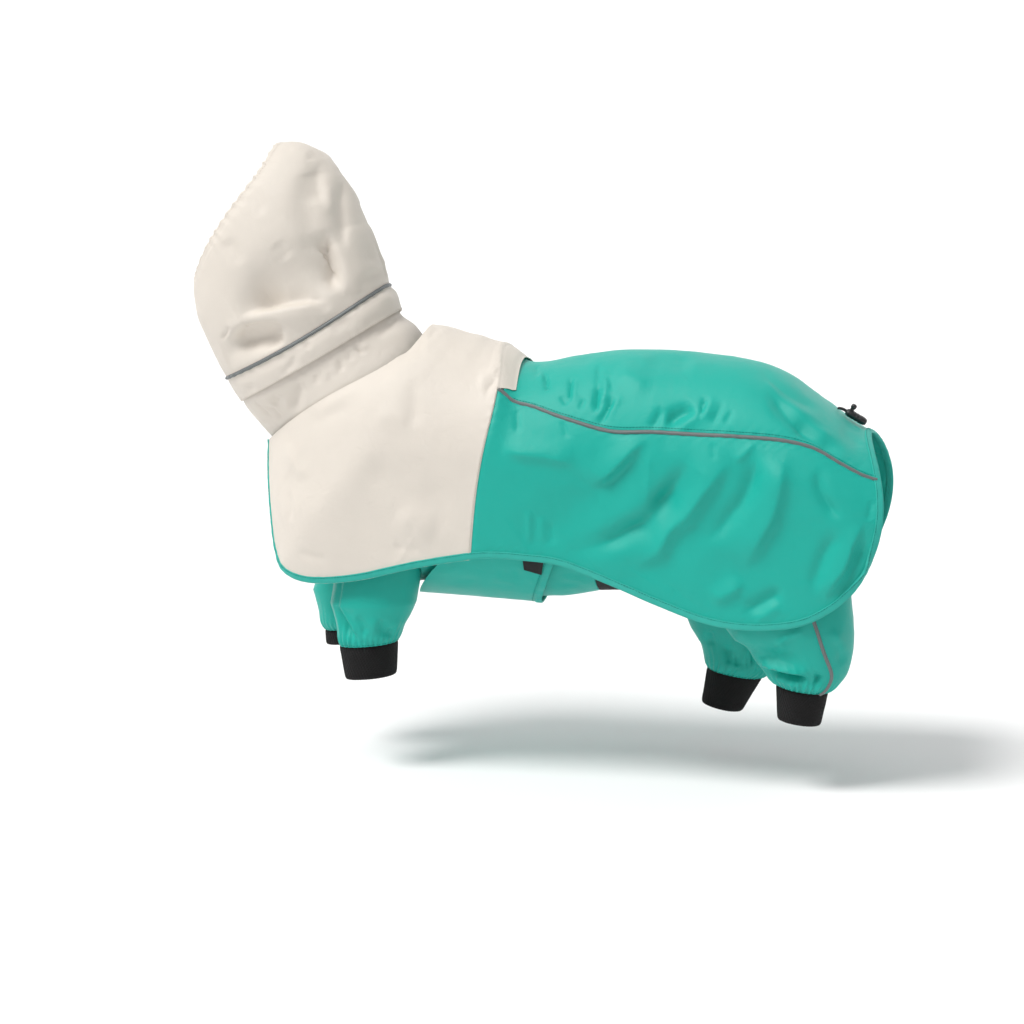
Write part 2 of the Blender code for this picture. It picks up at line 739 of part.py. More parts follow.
def make_front_leg(side, rows, sign, chest, chest_grid, teal):
    """A gathered leg whose top is trimmed to the chest panel, where it cuts the armhole."""
    middle = sign * FRONT_STANCE
    cells = (LEG_SEAM_CELLS, LEG_REST_CELLS)
    grid = [ring(between(rows, s), *cells, middle) for s in stations(rows, FRONT_LEG_PITCH)]
    grid = folded(grid, LEG_FOLDS, True)
    last = len(grid) - 1
    grid = gathered(grid, [(last, LEG_GATHER * EDGE_GATHER), (last - 1, LEG_GATHER)])
    out = normals(grid, True)
    inner = moved_in(grid, out, CLOTH)
    surface = Surface(chest_grid)
    tops = []
    rise = Vector((LEG_BACK[side], -sign * LEG_IN, 1))
    for layer in (grid, inner):
        tops.append([surface.met_from(p, rise, 2 * REST_GAP) for p in layer[0]])
    wall(
        f"front_leg_{side}",
        [tops[0]] + grid,
        [tops[1]] + inner,
        teal,
        around=True,
    )
    centre = sum(tops[1], Vector()) / len(tops[1])
    hole = [centre.lerp(p, ARMHOLE_SHARE) for p in tops[1]]
    reach = rise.normalized() * ARMHOLE_REACH
    cutter = sweep(
        f"armhole_{side}", [[p - reach for p in hole], [p + reach for p in hole]], teal
    )
    cutter.hide_render = True
    cutter.display_type = "WIRE"
    armhole = chest.modifiers.new(f"armhole_{side}", "BOOLEAN")
    armhole.object = cutter
    armhole.operation = "DIFFERENCE"


def make_hind_leg(side, rows, sign, cape, teal, grey):
    """A gathered trouser leg with a piped outer seam, its top sewn flat inside the cape."""
    middle = sign * HIND_STANCE
    cells = (LEG_SEAM_CELLS, LEG_REST_CELLS)
    grid = [ring(between(rows, s), *cells, middle) for s in stations(rows, HIND_LEG_PITCH)]
    grid = folded(grid, LEG_FOLDS, True)
    grid = [[cape.kept_inside(p, LAYER_GAP) for p in line] for line in grid]
    outermost = max(range(len(grid[0])), key=lambda j: sign * grid[0][j].y)
    for j in range(outermost - 2, outermost + 3):
        grid[0][j] = cape.seated_inside(grid[0][j], SEWN_GAP)
    last = len(grid) - 1
    grid = gathered(grid, [(last, LEG_GATHER * EDGE_GATHER), (last - 1, LEG_GATHER)])
    out = normals(grid, True)
    wall(f"hind_leg_{side}", grid, moved_in(grid, out, CLOTH), teal, around=True)
    seam = LEG_SEAM_CELLS if sign > 0 else len(grid[0]) - LEG_SEAM_CELLS
    start = len(grid) // 3
    strip_along(
        f"leg_piping_{side}",
        [grid[i][seam] for i in range(start, len(grid))],
        [out[i][seam] for i in range(start, len(grid))],
        grey,
    )


def make_cuff(name, rows, middle, black):
    """A knit cuff, open at both ends."""
    cells = (CUFF_CELLS // 4, CUFF_CELLS - CUFF_CELLS // 4)
    sections = [between(rows, s) for s in (0, 0.5, 1)]
    grid = [ring(section, *cells, middle) for section in sections]
    out = normals(grid, True)
    wall(name, grid, moved_in(grid, out, KNIT), black, around=True)


def make_wrap_binding(grid, out, teal):
    """The binding on the belly wrap's rear edge."""
    half = BINDING_THICK / 2
    before, edge = list(grid[-2]), list(grid[-1])
    for end, beside in ((0, 1), (-1, -2)):
        edge[end] = edge[end].lerp(edge[beside], WRAP_BINDING_SHORTER)
        before[end] = before[end].lerp(before[beside], WRAP_BINDING_SHORTER)
    loops = []
    for before, edge, up in zip(before, edge, out[-1]):
        back = (edge - before).normalized()
        start = edge + back * SEAM_GAP
        end = start + back * BINDING_WIDTH
        middle = up * (CLOTH / -2)
        loops.append(
            [
                start + middle + up * half,
                end - back * BINDING_ROUND + middle + up * half,
                end + middle + up * (half - BINDING_ROUND),
                end + middle - up * (half - BINDING_ROUND),
                end - back * BINDING_ROUND + middle - up * half,
                start + middle - up * half,
            ]
        )
    sweep("belly_wrap_binding", loops, teal)


def make_side_tab(side, sign, wrap_grid, black):
    """A strap that hangs from under the hem and lies on the belly wrap."""
    surface = Surface(wrap_grid)
    inside, outside = [], []
    corners = [Vector((x, sign * FAR_OUT, z)) for x, z in TAB_FRONT + TAB_REAR]
    for k in range(TAB_CELLS_DOWN + 1):
        line = []
        for n in range(TAB_CELLS_ACROSS + 1):
            ends = [
                corners[c].lerp(corners[c + 1], k / TAB_CELLS_DOWN) for c in (0, 2)
            ]
            start = ends[0].lerp(ends[1], n / TAB_CELLS_ACROSS)
            line.append(surface.met_from(start, Vector((0, -sign, 0)), TAB_GAP))
        inside.append(line)
        outside.append([p + Vector((0, sign * TAPE, 0)) for p in line])
    if sign > 0:
        inside, outside = [a[::-1] for a in inside], [a[::-1] for a in outside]
    wall(f"side_tab_{side}", outside, inside, black)


def make_cord_lock(cape, black):
    """The drawcord's barrel lock on the rump, its push button, and the cord that runs into it."""
    front = Vector((LOCK_FRONT[0], 0, LOCK_FRONT[1]))
    rear = Vector((LOCK_REAR[0], 0, LOCK_REAR[1]))
    axis = (rear - front).normalized()
    up = Vector((-axis.z, 0, axis.x))
    across = Vector((0, 1, 0))

    def oval(centre, one, one_half, other, other_half, sides=12):
        turns = [2 * math.pi * k / sides for k in range(sides)]
        return [
            centre + one * (math.cos(a) * one_half) + other * (math.sin(a) * other_half)
            for a in turns
        ]

    swell = [(0.0, 0.55), (0.06, 0.85), (0.25, 1.0), (0.7, 1.0), (0.92, 0.85), (1, 0.5)]
    loops = [
        oval(
            front.lerp(rear, at), across, LOCK_HALF_WIDTH * share, up, LOCK_HALF_HEIGHT * share
        )
        for at, share in swell
    ]
    sweep("cord_lock", loops, black)
    foot = front + axis * BUTTON_BACK + up * (LOCK_HALF_HEIGHT + SEAM_GAP)
    dome = [(0.0, 0.75), (0.3, 0.85), (0.6, 1.0), (0.85, 0.75), (1.0, 0.3)]
    loops = [
        oval(
            foot + up * (BUTTON_HEIGHT * at),
            axis,
            BUTTON_RADIUS * share,
            across,
            BUTTON_RADIUS * share,
        )
        for at, share in dome
    ]
    sweep("cord_lock_button", loops, black)
    lift = CLOTH + REST_GAP + CORD_RADIUS
    root = cape.seated_inside(front - axis * CORD_RUN, -lift)
    end = front - axis * SEAM_GAP
    loops = []
    for share in (0.0, 0.4, 0.75, 1.0):
        point = root.lerp(end, share) + up * (4 * CORD_RISE * share * (1 - share))
        loops.append(oval(point, across, CORD_RADIUS, up, CORD_RADIUS, 6))
    sweep("drawcord", loops, black)


def build():
    """Every piece of the suit."""
    for item in list(bpy.data.objects):
        bpy.data.objects.remove(item)
    cream = colour("cream_shell", (0.80, 0.75, 0.68), 0.62)
    teal = colour("teal_shell", (0.05, 0.55, 0.43), 0.5)
    black = colour("black_knit", (0.012, 0.012, 0.015), 0.85)
    grey = colour("grey_reflective", (0.22, 0.22, 0.24), 0.45)
    plastic = colour("black_plastic", (0.015, 0.015, 0.017), 0.35)

    cape = make_cape(cream, teal, grey)
    make_hood_and_neck(cream, grey)
    chest, chest_grid, _ = trough("chest_panel", CHEST_PANEL, cape, teal)
    _, wrap_grid, wrap_out = trough("belly_wrap", BELLY_WRAP, cape, teal)
    make_wrap_binding(wrap_grid, wrap_out, teal)
    trough("belly_rear", BELLY_REAR, cape, teal)
    trough("belly_elastic", BELLY_ELASTIC, cape, black, TAPE)
    for side, sign, front, hind, front_cuff, hind_cuff in (
        (
            "left",
            -1,
            FRONT_LEG_LEFT,
            HIND_LEG_LEFT,
            FRONT_CUFF_LEFT,
            HIND_CUFF_LEFT,
        ),
        (
            "right",
            1,
            FRONT_LEG_RIGHT,
            HIND_LEG_RIGHT,
            FRONT_CUFF_RIGHT,
            HIND_CUFF_RIGHT,
        ),
    ):
        make_front_leg(side, front, sign, chest, chest_grid, teal)
        make_hind_leg(side, hind, sign, cape, teal, grey)
        make_cuff(f"front_cuff_{side}", front_cuff, sign * FRONT_STANCE, black)
        make_cuff(f"hind_cuff_{side}", hind_cuff, sign * HIND_STANCE, black)
        make_side_tab(side, sign, wrap_grid, black)
    make_cord_lock(cape, plastic)


build()
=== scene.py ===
"""Looks of the dog rain suit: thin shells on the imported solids, with their creases and sewing.

Tables are in millimetres in the suit's own frame: X from the hood to the tail, Y to the
suit's right side, Z up. Surfaces are grids of points, one row for each section.
"""

import logging
import math
from dataclasses import dataclass, field
from enum import Enum
from typing import Callable, Optional, Sequence

import bpy
import numpy as np
from mathutils import Matrix, Vector
from mathutils.bvhtree import BVHTree


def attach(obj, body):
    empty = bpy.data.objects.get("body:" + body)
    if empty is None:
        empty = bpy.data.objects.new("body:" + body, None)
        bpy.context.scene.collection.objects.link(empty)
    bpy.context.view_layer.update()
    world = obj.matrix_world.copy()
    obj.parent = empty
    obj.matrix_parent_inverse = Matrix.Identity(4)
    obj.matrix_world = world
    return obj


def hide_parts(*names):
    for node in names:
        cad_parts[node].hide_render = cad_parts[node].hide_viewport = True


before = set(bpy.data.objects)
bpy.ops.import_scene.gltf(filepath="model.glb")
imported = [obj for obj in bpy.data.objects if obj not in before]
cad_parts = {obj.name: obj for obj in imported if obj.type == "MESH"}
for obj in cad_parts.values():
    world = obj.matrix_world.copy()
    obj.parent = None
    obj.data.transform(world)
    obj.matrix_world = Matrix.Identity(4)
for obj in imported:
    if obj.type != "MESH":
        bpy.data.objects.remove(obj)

MM = 0.001
LOG = logging.getLogger("rain_suit")
BODY = "root"

Grid = np.ndarray  # rows x columns x 3, in millimetres

# Columns of a section table, with the values that a short row leaves out
REAR_X, REAR_Z, FRONT_X, FRONT_Z, HALF, WIDE_AT, END_HALF, SEAM_AT, BOW, DIP, CROWN, FOOT = range(12)
SECTION_DEFAULTS = (0.5, 0.0, 0.3, 0.0, 0.0, 2.1, 2.2)


def sections(*rows: tuple) -> np.ndarray:
    """A section table from its rows.

    Args:
        rows: rear_x rear_z front_x front_z half, then any of wide_at end_half seam_at bow dip
            crown foot.

    Returns:
        One row for each section, with twelve columns.
    """
    return np.array([tuple(row) + SECTION_DEFAULTS[len(row) - 5 :] for row in rows], float)


@dataclass(frozen=True)
class Crease:
    """One crease in the side view: its ends, bow, half width, height, crispness and lean.

    Lean is the share by which the flank to the left of its run is wider than the other one.
    """

    x0: float
    z0: float
    x1: float
    z1: float
    bow: float
    width: float
    height: float
    crisp: float
    lean: float = 0.0


def creases(*rows: tuple) -> tuple[Crease, ...]:
    """A crease table from its rows.

    Args:
        rows: x0 z0 x1 z1 bow width height crisp and, where it has one, lean.

    Returns:
        The creases.
    """
    return tuple(Crease(*row) for row in rows)


HOOD = sections(
    (-220, 208, -312, 54, 58, 0.5, 0, 0.3, -2, 7), (-194, 209, -313, 43, 68, 0.5, 0, 0.3, -1, 5),
    (-166, 195, -311, 28, 76, 0.5, 0, 0.3, 0, 2), (-141, 166, -308, 13, 81, 0.5, 0, 0.3, 1),
    (-123, 128, -300, -5, 83, 0.5, 0, 0.3, 2), (-111, 95, -291, -24, 82, 0.5, 0, 0.3, 3),
    (-103, 74, -284, -38, 80, 0.5, 0, 0.3, 5), (-97, 54, -277, -50, 77, 0.5, 0, 0.3, 7),
)
NECK_UPPER = sections(
    (-97, 54, -277, -50, 77, 0.5, 0, 0.3, 7), (-88, 42, -270, -63, 79, 0.5, 0, 0.3, 5),
    (-83, 27, -261, -76, 77, 0.5, 0, 0.3, 3),
)
NECK_LOWER = sections(
    (-89, 29, -261, -70, 73, 0.5, 0, 0.3, 3), (-83, 21, -255, -83, 73, 0.5, 0, 0.3, 2),
    (-69, 11, -242.5, -100, 73, 0.5, 0, 0.3, 0, 3, 2.1, 1.8),
    (-57, -4, -228, -117, 76.6, 0.48, 0, 0.3, 0, 8, 2.1, 1.6),
)
CAPE = sections(
    (-48, 12, -232, -119, 79, 0.48, 6, 0.28, -2, 11, 2.1, 1.7),
    (-41, 11, -230.5, -158, 90, 0.45, 15, 0.25, -1, 8, 2.1, 1.8),
    (-32, 10, -225.5, -197, 99, 0.43, 27, 0.22, 0, 5, 2.1, 2),
    (-21, 7, -217, -237, 106, 0.41, 42, 0.20, 0, 4, 2.1, 2.3),
    (-8, 3, -202, -257, 110, 0.42, 64, 0.19, 0, 5, 2.1, 2.5),
    (6, 0, -167, -264, 112, 0.44, 86, 0.18, 0, 6, 2.1, 2.6),
    (17, -4, -110, -257, 113, 0.46, 101, 0.18, 0, 7, 2.1, 2.5),
    (25, -6, -47, -241, 113, 0.50, 106, 0.18, 0, 9, 2.1, 2.4),
    (34, -9, 15, -229, 113, 0.53, 109, 0.172, 0, 10), (54, -26, 38, -227, 113, 0.53, 109, 0.168, 0, 7),
    (77, -27, 68, -228, 113, 0.53, 109, 0.19, 0, 5), (111, -20, 112, -233, 113, 0.53, 109, 0.26, 0, 3),
    (160, -13, 166, -252, 113, 0.49, 110, 0.31, 0, 1), (209, -12, 214, -271, 114, 0.46, 112, 0.29),
    (258, -15, 268, -289, 116, 0.44, 115, 0.27), (306, -22, 317, -294, 119, 0.43, 118, 0.25),
    (341, -35, 366, -288, 121, 0.44, 120, 0.23, 2, 0),
    (369, -54, 399, -272, 121, 0.48, 119, 0.22, 6, 0),
    (393, -72, 419, -255, 119, 0.55, 117, 0.25, 10, 0),
    (414, -87.5, 430, -241, 116, 0.62, 114, 0.275, 14, 0),
    (433, -97, 437, -227, 113, 0.70, 111, 0.295, 17, 0),
)
CHEST_PANEL = sections(
    (-219, -130, -156, -84, 62, 1, 62, 0.5, 0, 0, 1.9),
    (-219, -162, -162, -106, 78, 1, 78, 0.5, 0, 0, 1.9),
    (-209, -203, -157, -134, 88, 1, 88, 0.5, 0, 0, 1.9),
    (-190, -238, -148, -158, 94, 1, 94, 0.5, 0, 0, 1.9),
    (-158, -262, -127, -176, 98, 1, 98, 0.5, 0, 0, 1.9),
    (-110, -272, -95, -180, 99, 1, 99, 0.5, 0, 0, 1.9),
    (-66, -272, -34, -176, 98, 1, 98, 0.5, 0, 0, 1.8),
    (-30, -268, 56, -172, 97, 1, 97, 0.5, 0, 0, 1.75),
)
BELLY_WRAP = sections(
    (-61, -285, 58, -192, 105, 1, 105, 0.5, 15, 0, 1.85),
    (-14, -287, 70, -188, 105, 1, 105, 0.5, 5, 0, 1.85),
    (28, -289, 88, -186, 105, 1, 105, 0.5, 0, 0, 1.85),
    (69, -291, 115, -186, 105, 1, 105, 0.5, 0, 0, 1.85),
)
BELLY_REAR = sections(
    (62, -286, 88, -168, 100, 1, 100, 0.5, 0, 0, 1.8),
    (102, -284, 114, -166, 101, 1, 101, 0.5, 0, 0, 1.8),
    (128, -279.5, 132, -166, 102, 1, 102, 0.5, 0, 0, 1.8),
    (141, -276.5, 143, -168, 103, 1, 103, 0.5, 0, 0, 1.8),
)
BELLY_ELASTIC = sections(
    (141.5, -276.4, 143.5, -168, 103, 1, 103, 0.5, 0, 0, 1.8),
    (162, -275.5, 163, -172, 103, 1, 103, 0.5, 0, 0, 1.8),
)
FRONT_LEG_LEFT = sections(
    (-56, -287, -151, -290, 37), (-65, -305, -146, -307, 35), (-74, -321, -143, -323, 31.5),
    (-77, -331, -141, -337, 29),
)
FRONT_LEG_RIGHT = sections(
    (-98, -288, -197, -296, 35), (-107, -309, -191, -315, 34), (-116, -324, -187, -331, 32),
    (-121, -333, -183, -341, 29),
)
HIND_LEG_LEFT = sections(
    (408, -205, 262, -230, 40, 0.5, 0, 0.30), (416, -250, 272, -272, 42, 0.5, 0, 0.30),
    (421, -291, 289, -304, 42, 0.5, 0, 0.27), (421, -319, 310, -322, 38, 0.5, 0, 0.25),
    (414, -347, 327, -343, 34, 0.5, 0, 0.16), (396, -366, 340, -358, 29, 0.5, 0, 0.15),
)
HIND_LEG_RIGHT = sections(
    (378, -205, 218, -232, 40, 0.5, 0, 0.30), (368, -255, 220, -280, 42, 0.5, 0, 0.30),
    (356, -304, 228, -320, 42, 0.5, 0, 0.27), (345, -340, 242, -344, 37, 0.5, 0, 0.25),
    (331, -366, 249, -363, 33, 0.5, 0, 0.16), (313, -384, 251, -373, 29, 0.5, 0, 0.15),
)
FRONT_CUFF_LEFT = sections(
    (-77.3, -331.6, -141, -337.6, 28), (-79, -368, -135, -374, 26),
)
FRONT_CUFF_RIGHT = sections(
    (-121.3, -333.6, -183, -341.6, 28), (-122.5, -351, -182, -358, 26.5),
)
HIND_CUFF_LEFT = sections(
    (395.6, -366.6, 340.2, -358.8, 27), (388, -402, 342, -396, 24),
)
HIND_CUFF_RIGHT = sections(
    (312.6, -384.6, 251, -373.8, 27), (290, -423, 245, -413, 24),
)
HOOD_FOLDS = creases(
    (-243, 20, -150, 85, 12, 24, -7, 0), (-262, 8, -138, 28, 4, 10, 4, 0),
    (-268, -22, -196, 2, 6, 13, -6, 0), (-172, 178, -156, 96, -6, 14, -4, 0),
    (-128, 120, -118, 52, 4, 12, 3, 0),
)
CAPE_FOLDS = creases(
    (302, -92, 150, -232, -14, 24, 4, 0), (196, -110, 70, -205, 10, 26, -4, 0),
    (352, -120, 250, -262, -16, 24, 3.5, 0), (262, -128, 200, -240, -8, 20, -3, 0),
    (-190, -140, -60, -225, 12, 30, -4, 0), (-210, -190, -90, -110, -18, 26, 3, 0),
)
LEG_FOLDS = creases(
    (296, -318, 372, -336, 6, 9, -4, 0), (300, -296, 352, -348, -6, 10, 3, 0),
    (-132, -286, -108, -334, -5, 8, -3, 0), (234, -338, 286, -362, 5, 9, -3.5, 0),
    (-178, -300, -152, -338, -5, 8, -3, 0),
)
HOOD_CREASES = creases(
    (-137, 46, -154, 121, -4, 11, -6.5, 0.4, 1.2), (-140, 50, -153, 114, -4, 5, -4, 0.5, 0.6),
    (-142, 48, -246, 30, -2, 11, -7.5, 0.5, -0.6), (-244, 24, -142, 37, 2, 7, 2.5, 0.1),
    (-254, 11, -186, 14, 3, 8, -5, 0.6, -0.5),
    (-264, -8, -192, 2, 2, 10, -4.5, 0.3), (-272, -5, -257, 14, -1, 3, -3, 0.9),
    (-168, 192, -160, 142, 1, 9, -2.8, 0.2, -0.3), (-154, 168, -150, 132, 1, 5, 2, 0.3),
    (-146, 178, -133, 90, 3, 7, -3.5, 0.4, -0.4), (-107, 114, -104, 76, -5, 5, -3.5, 0.5),
    (-100, 80, -88, 86, 1, 5, 1.8, 0.4), (-118, 52, -96, 72, 3, 6, -1.8, 0.2),
    (-206, 104, -190, 84, 2, 9, -1, 0.1), (-200, 203, -174, 194, 2, 5, 2, 0.3),
    (-240, 160, -216, 132, 3, 8, -1.2, 0.1), (-264, 108, -240, 78, 3, 9, -1.4, 0.1),
    (-166, 44, -144, 30, 2, 6, -1.6, 0.3),
)
UPPER_NECK_CREASES = creases(
    (-180, -8, -199, -52, 2, 6, -2.4, 0.4), (-171, -1, -169, -11, 0, 3.5, -2.2, 0.5),
    (-228, -30, -185, -18, 2, 7, -1.5, 0.3), (-246, -56, -226, -64, 2, 5, -2, 0.4),
    (-146, 8, -118, 22, 2, 7, -1.6, 0.3), (-104, 42, -80, 36, 2, 5.5, 1.8, 0.3),
    (-160, -16, -138, -6, -2, 5, 1.4, 0.3), (-112, 12, -90, 20, 2, 5, -1.5, 0.3),
)
LOWER_NECK_CREASES = creases(
    (-178, -45, -192, -82, 3, 6, -3.2, 0.4), (-206, -60, -214, -76, 1, 5, -2.4, 0.4),
    (-196, -58, -200, -82, 1, 4.5, 1.8, 0.5), (-162, -36, -160, -50, 0, 3.5, -2.4, 0.6),
    (-150, -30, -150, -46, 1, 3.5, 1.6, 0.5), (-137, -18, -133, -36, 1, 3.5, -2.4, 0.5),
    (-143, -20, -141, -38, 1, 3.5, 1.6, 0.5), (-126, -10, -124, -24, 1, 3.5, -1.8, 0.5),
    (-120, -4, -108, -15, -2, 2.4, -4.5, 0.9), (-110, -2, -112, -14, 0, 3, 1.6, 0.5),
    (-102, 2, -82, 22, -2, 5, -2.2, 0.3), (-92, 14, -78, 26, 1, 4, 1.6, 0.4),
    (-238, -66, -214, -92, -1, 2.4, -2.6, 0.9), (-234, -68, -211, -93, -1, 2, 1.4, 0.8),
    (-222, -78, -208, -84, 3, 3.5, -2.6, 0.7), (-209, -80, -208, -93, 1, 3.5, -2, 0.6),
)
YOKE_CREASES = creases(
    (-198, -113, -164, -150, -5, 10, 2.2, 0.3), (-197, -162, -191, -202, 3, 5, -1.8, 0.3),
    (-78, -12, -42, -2, -4, 8, -3, 0.3), (-44, 0, -30, 14, 1, 5, -2, 0.4),
    (-122, -134, 2, -196, 14, 20, -2.4, 0.1), (-70, -186, -20, -206, 6, 16, 1.8, 0.1),
    (-52, -30, -46, -92, 2, 10, -1.6, 0.1), (-92, -76, -46, -82, 2, 10, 1.2, 0.1),
    (26, -56, 50, -38, 5, 5, -2.8, 0.4), (18, -46, 44, -30, 4, 6, 1.6, 0.3),
    (-164, -82, -104, -46, 2, 7, 1.5, 0.2), (-172, -98, -108, -66, 2, 8, -1.4, 0.2),
    (-184, -228, -140, -236, -2, 6, -1.5, 0.2), (-74, -214, -38, -222, -2, 6, -1.3, 0.2),
)
BACK_CREASES = creases(
    (66, -24, 80, -38, 1, 3.5, -3, 0.7), (84, -34, 92, -52, 1, 3.3, -2.8, 0.6),
    (74, -28, 86, -42, -1, 3.5, 1.8, 0.5), (115, -34, 118, -62, 1, 3.3, -3.2, 0.7),
    (122, -36, 124, -60, -1, 3.5, 1.8, 0.5), (106, -54, 116, -64, 1, 3, -2.2, 0.7),
    (134, -54, 129, -67, 1, 3.2, -2.6, 0.6), (143, -22, 147, -44, 1, 3.5, -2.2, 0.6),
    (148, -38, 147, -72, -1, 3.6, -3.6, 0.7), (156, -34, 154, -62, 1, 3.6, 1.8, 0.5),
    (166, -50, 150, -84, 2, 4, -4, 0.7), (174, -50, 160, -76, -1, 3.5, 1.8, 0.5),
    (156, -32, 163, -48, 1, 3.4, -1.8, 0.5), (218, -60, 205, -86, 2, 5, -2.8, 0.4),
    (256, -64, 222, -84, -4, 8, -4, 0.3), (272, -62, 236, -88, -3, 6, 2, 0.3),
    (262, -50, 257, -76, 1, 3, -3, 0.7), (270, -50, 264, -76, 1, 3.4, 1.6, 0.5),
    (281, -54, 271, -80, 1, 3, -2.6, 0.6), (292, -62, 284, -78, 1, 3, -1.8, 0.6),
    (326, -40, 386, -94, -7, 8, -4, 0.35), (312, -24, 384, -70, -3, 4, -2.2, 0.5),
    (320, -32, 388, -80, -5, 5, 2.2, 0.4), (352, -64, 408, -108, -4, 7, -3, 0.35),
    (346, -54, 410, -98, -5, 5, 2, 0.4), (190, -18, 250, -26, 3, 11, -1.4, 0.1),
    (86, -18, 140, -22, 2, 8, -1.4, 0.1), (160, -26, 205, -50, 3, 10, 1.6, 0.1),
    (402, -80, 430, -104, -2, 5, -1.6, 0.4),
)
SIDE_CREASES = creases(
    (205, -92, 142, -148, 2, 9, 4, 0.35, -0.45), (292, -105, 190, -240, 5, 13, 5, 0.25, -0.35),
    (256, -92, 112, -222, 30, 13, -4.5, 0.3), (318, -94, 296, -118, 1, 5, 2, 0.4, -0.3),
    (322, -98, 262, -205, 14, 11, -4, 0.3), (346, -100, 300, -235, 14, 13, 3.5, 0.15, -0.4),
    (383, -118, 412, -174, -8, 7, -3, 0.5), (433, -170, 390, -264, 2, 8, 3.2, 0.4, -0.5),
    (436, -185, 402, -262, 4, 6, -2.4, 0.4), (408, -180, 380, -258, -4, 8, -2, 0.2),
    (352, -248, 305, -276, 2, 8, -3, 0.3), (345, -260, 320, -284, 1, 7, 2, 0.3),
    (310, -240, 272, -266, 2, 9, 2.4, 0.3, -0.3), (46, -112, 134, -124, 3, 10, 2.6, 0.25, 0.5),
    (62, -64, 66, -95, 1, 4.5, -1.6, 0.4), (78, -170, 79, -212, 0, 4, 1.2, 0.3),
    (92, -176, 93, -212, 0, 4, 1.2, 0.3), (103, -184, 104, -212, 0, 4, -1.2, 0.3),
    (208, -100, 205, -165, 1, 3.5, 1, 0.5), (440, -150, 436, -176, 1, 4, -1.4, 0.4),
    (112, -76, 118, -98, 1, 3.5, -1.4, 0.5), (272, -94, 276, -116, 1, 3.5, -1.2, 0.5),
)
FRONT_LEG_CREASES = creases(
    (-142, -283, -116, -328, 0, 4.5, -4.2, 0.5, -0.4), (-138, -286, -112, -326, 1, 3.2, 2.4, 0.7),
    (-146, -282, -132, -327, -2, 3.5, 2, 0.5), (-116, -298, -105, -322, 1, 5, -2.4, 0.3),
    (-88, -300, -86, -324, 0, 5, -2.6, 0.3), (-78, -310, -84, -323, 0, 3, -2.2, 0.6),
    (-95, -300, -96, -322, 0, 5, 1.4, 0.3), (-72, -300, -74, -322, 0, 5, 1.2, 0.3),
)
HIND_LEG_CREASES = creases(
    (318, -329, 380, -341, -3, 5.5, 4.4, 0.6, 0.6), (324, -338, 382, -347, -1, 3.8, -7.5, 0.7, -0.3),
    (320, -329, 350, -325, 2, 4, -2.6, 0.5), (340, -317, 374, -291, 4, 3.5, 2.4, 0.6),
    (292, -301, 317, -327, -2, 4, 1.8, 0.5), (338, -347, 374, -352, -2, 3.5, 1.8, 0.5),
    (386, -338, 384, -354, 1, 4.5, -3.6, 0.6), (394, -340, 380, -360, -2, 4, -2.2, 0.5),
    (402, -288, 414, -324, -2, 6, 1.8, 0.3), (404, -300, 410, -336, 2, 6, -1.8, 0.3),
    (352, -348, 356, -360, 0, 2.6, -1.8, 0.6), (366, -350, 368, -361, 0, 2.6, -1.8, 0.6),
    (345, -349, 347, -358, 0, 2.6, -1.6, 0.6),
)
FAR_HIND_LEG_CREASES = creases(
    (258, -325, 257, -346, 0, 5, -2.4, 0.4), (273, -343, 277, -366, 1, 4, -2.4, 0.5),
    (296, -341, 293, -363, 1, 4, 2, 0.5), (303, -345, 304, -366, 0, 3, -4, 0.8),
    (299, -350, 299, -369, 0, 2.6, -2, 0.7), (308, -350, 307, -369, 0, 3.4, 2, 0.5),
    (311, -342, 311, -356, 0, 3.4, -2, 0.5), (287, -352, 287, -367, 0, 3.4, -1.8, 0.5),
)
WRAP_CREASES = creases(
    (-32, -252, 4, -238, -2, 5, 1.6, 0.3), (30, -256, 62, -262, 3, 5, 1.8, 0.3),
    (38, -246, 56, -252, 1, 4, -1.8, 0.4), (56, -240, 62, -256, 1, 4, -2.2, 0.4),
    (-20, -264, 22, -258, 1, 6, -1.4, 0.3), (70, -250, 86, -266, 1, 4.5, 1.4, 0.4),
)
BELLY_REAR_CREASES = creases(
    (104, -248, 140, -252, -1, 4, -2.4, 0.5), (104, -254, 138, -258, 1, 4, 1.8, 0.5),
    (100, -262, 132, -264, -1, 4, -2, 0.5), (112, -240, 150, -248, 2, 3.5, 1.6, 0.5),
    (108, -268, 140, -260, 1, 3.5, 1.4, 0.5),
)

# The hidden side has like creases: how far back, how strong, and how its places sway
FAR_SIDE_SHIFT = 11.0
FAR_SIDE_SHARE = 0.85
FAR_SWAY_X, FAR_SWAY_X_LENGTH = 7.0, 37.0
FAR_SWAY_Z, FAR_SWAY_Z_LENGTH = 5.0, 43.0

# A crease fades at its ends, wanders sideways by a share of its width and varies in height
END_FADE = 0.32
WANDER, WANDER_LENGTH = 0.3, 26.0
UNEVEN, UNEVEN_LENGTH = 0.3, 23.0
RIDGE_FALL, RIDGE_ROUNDING = 1.7, 0.2
# Broad creases stand up more than narrow ones
NARROW_TO_BROAD = (3.5, 10.0)
GAINS = (0.75, 1.5)

ARC_STEPS = 161

# ---------------------------------------------------------------------- surfaces


def at(table: np.ndarray, position: float) -> np.ndarray:
    """The section at a position along a table, on a smooth curve through its rows."""
    i = min(int(position), len(table) - 2)
    t = position - i
    p, q, r, u = (table[min(max(i + k, 0), len(table) - 1)] for k in (-1, 0, 1, 2))
    turn = (2 * p - 5 * q + 4 * r - u) * t * t + (3 * q - p - 3 * r + u) * t**3
    return q + 0.5 * ((r - p) * t + turn)


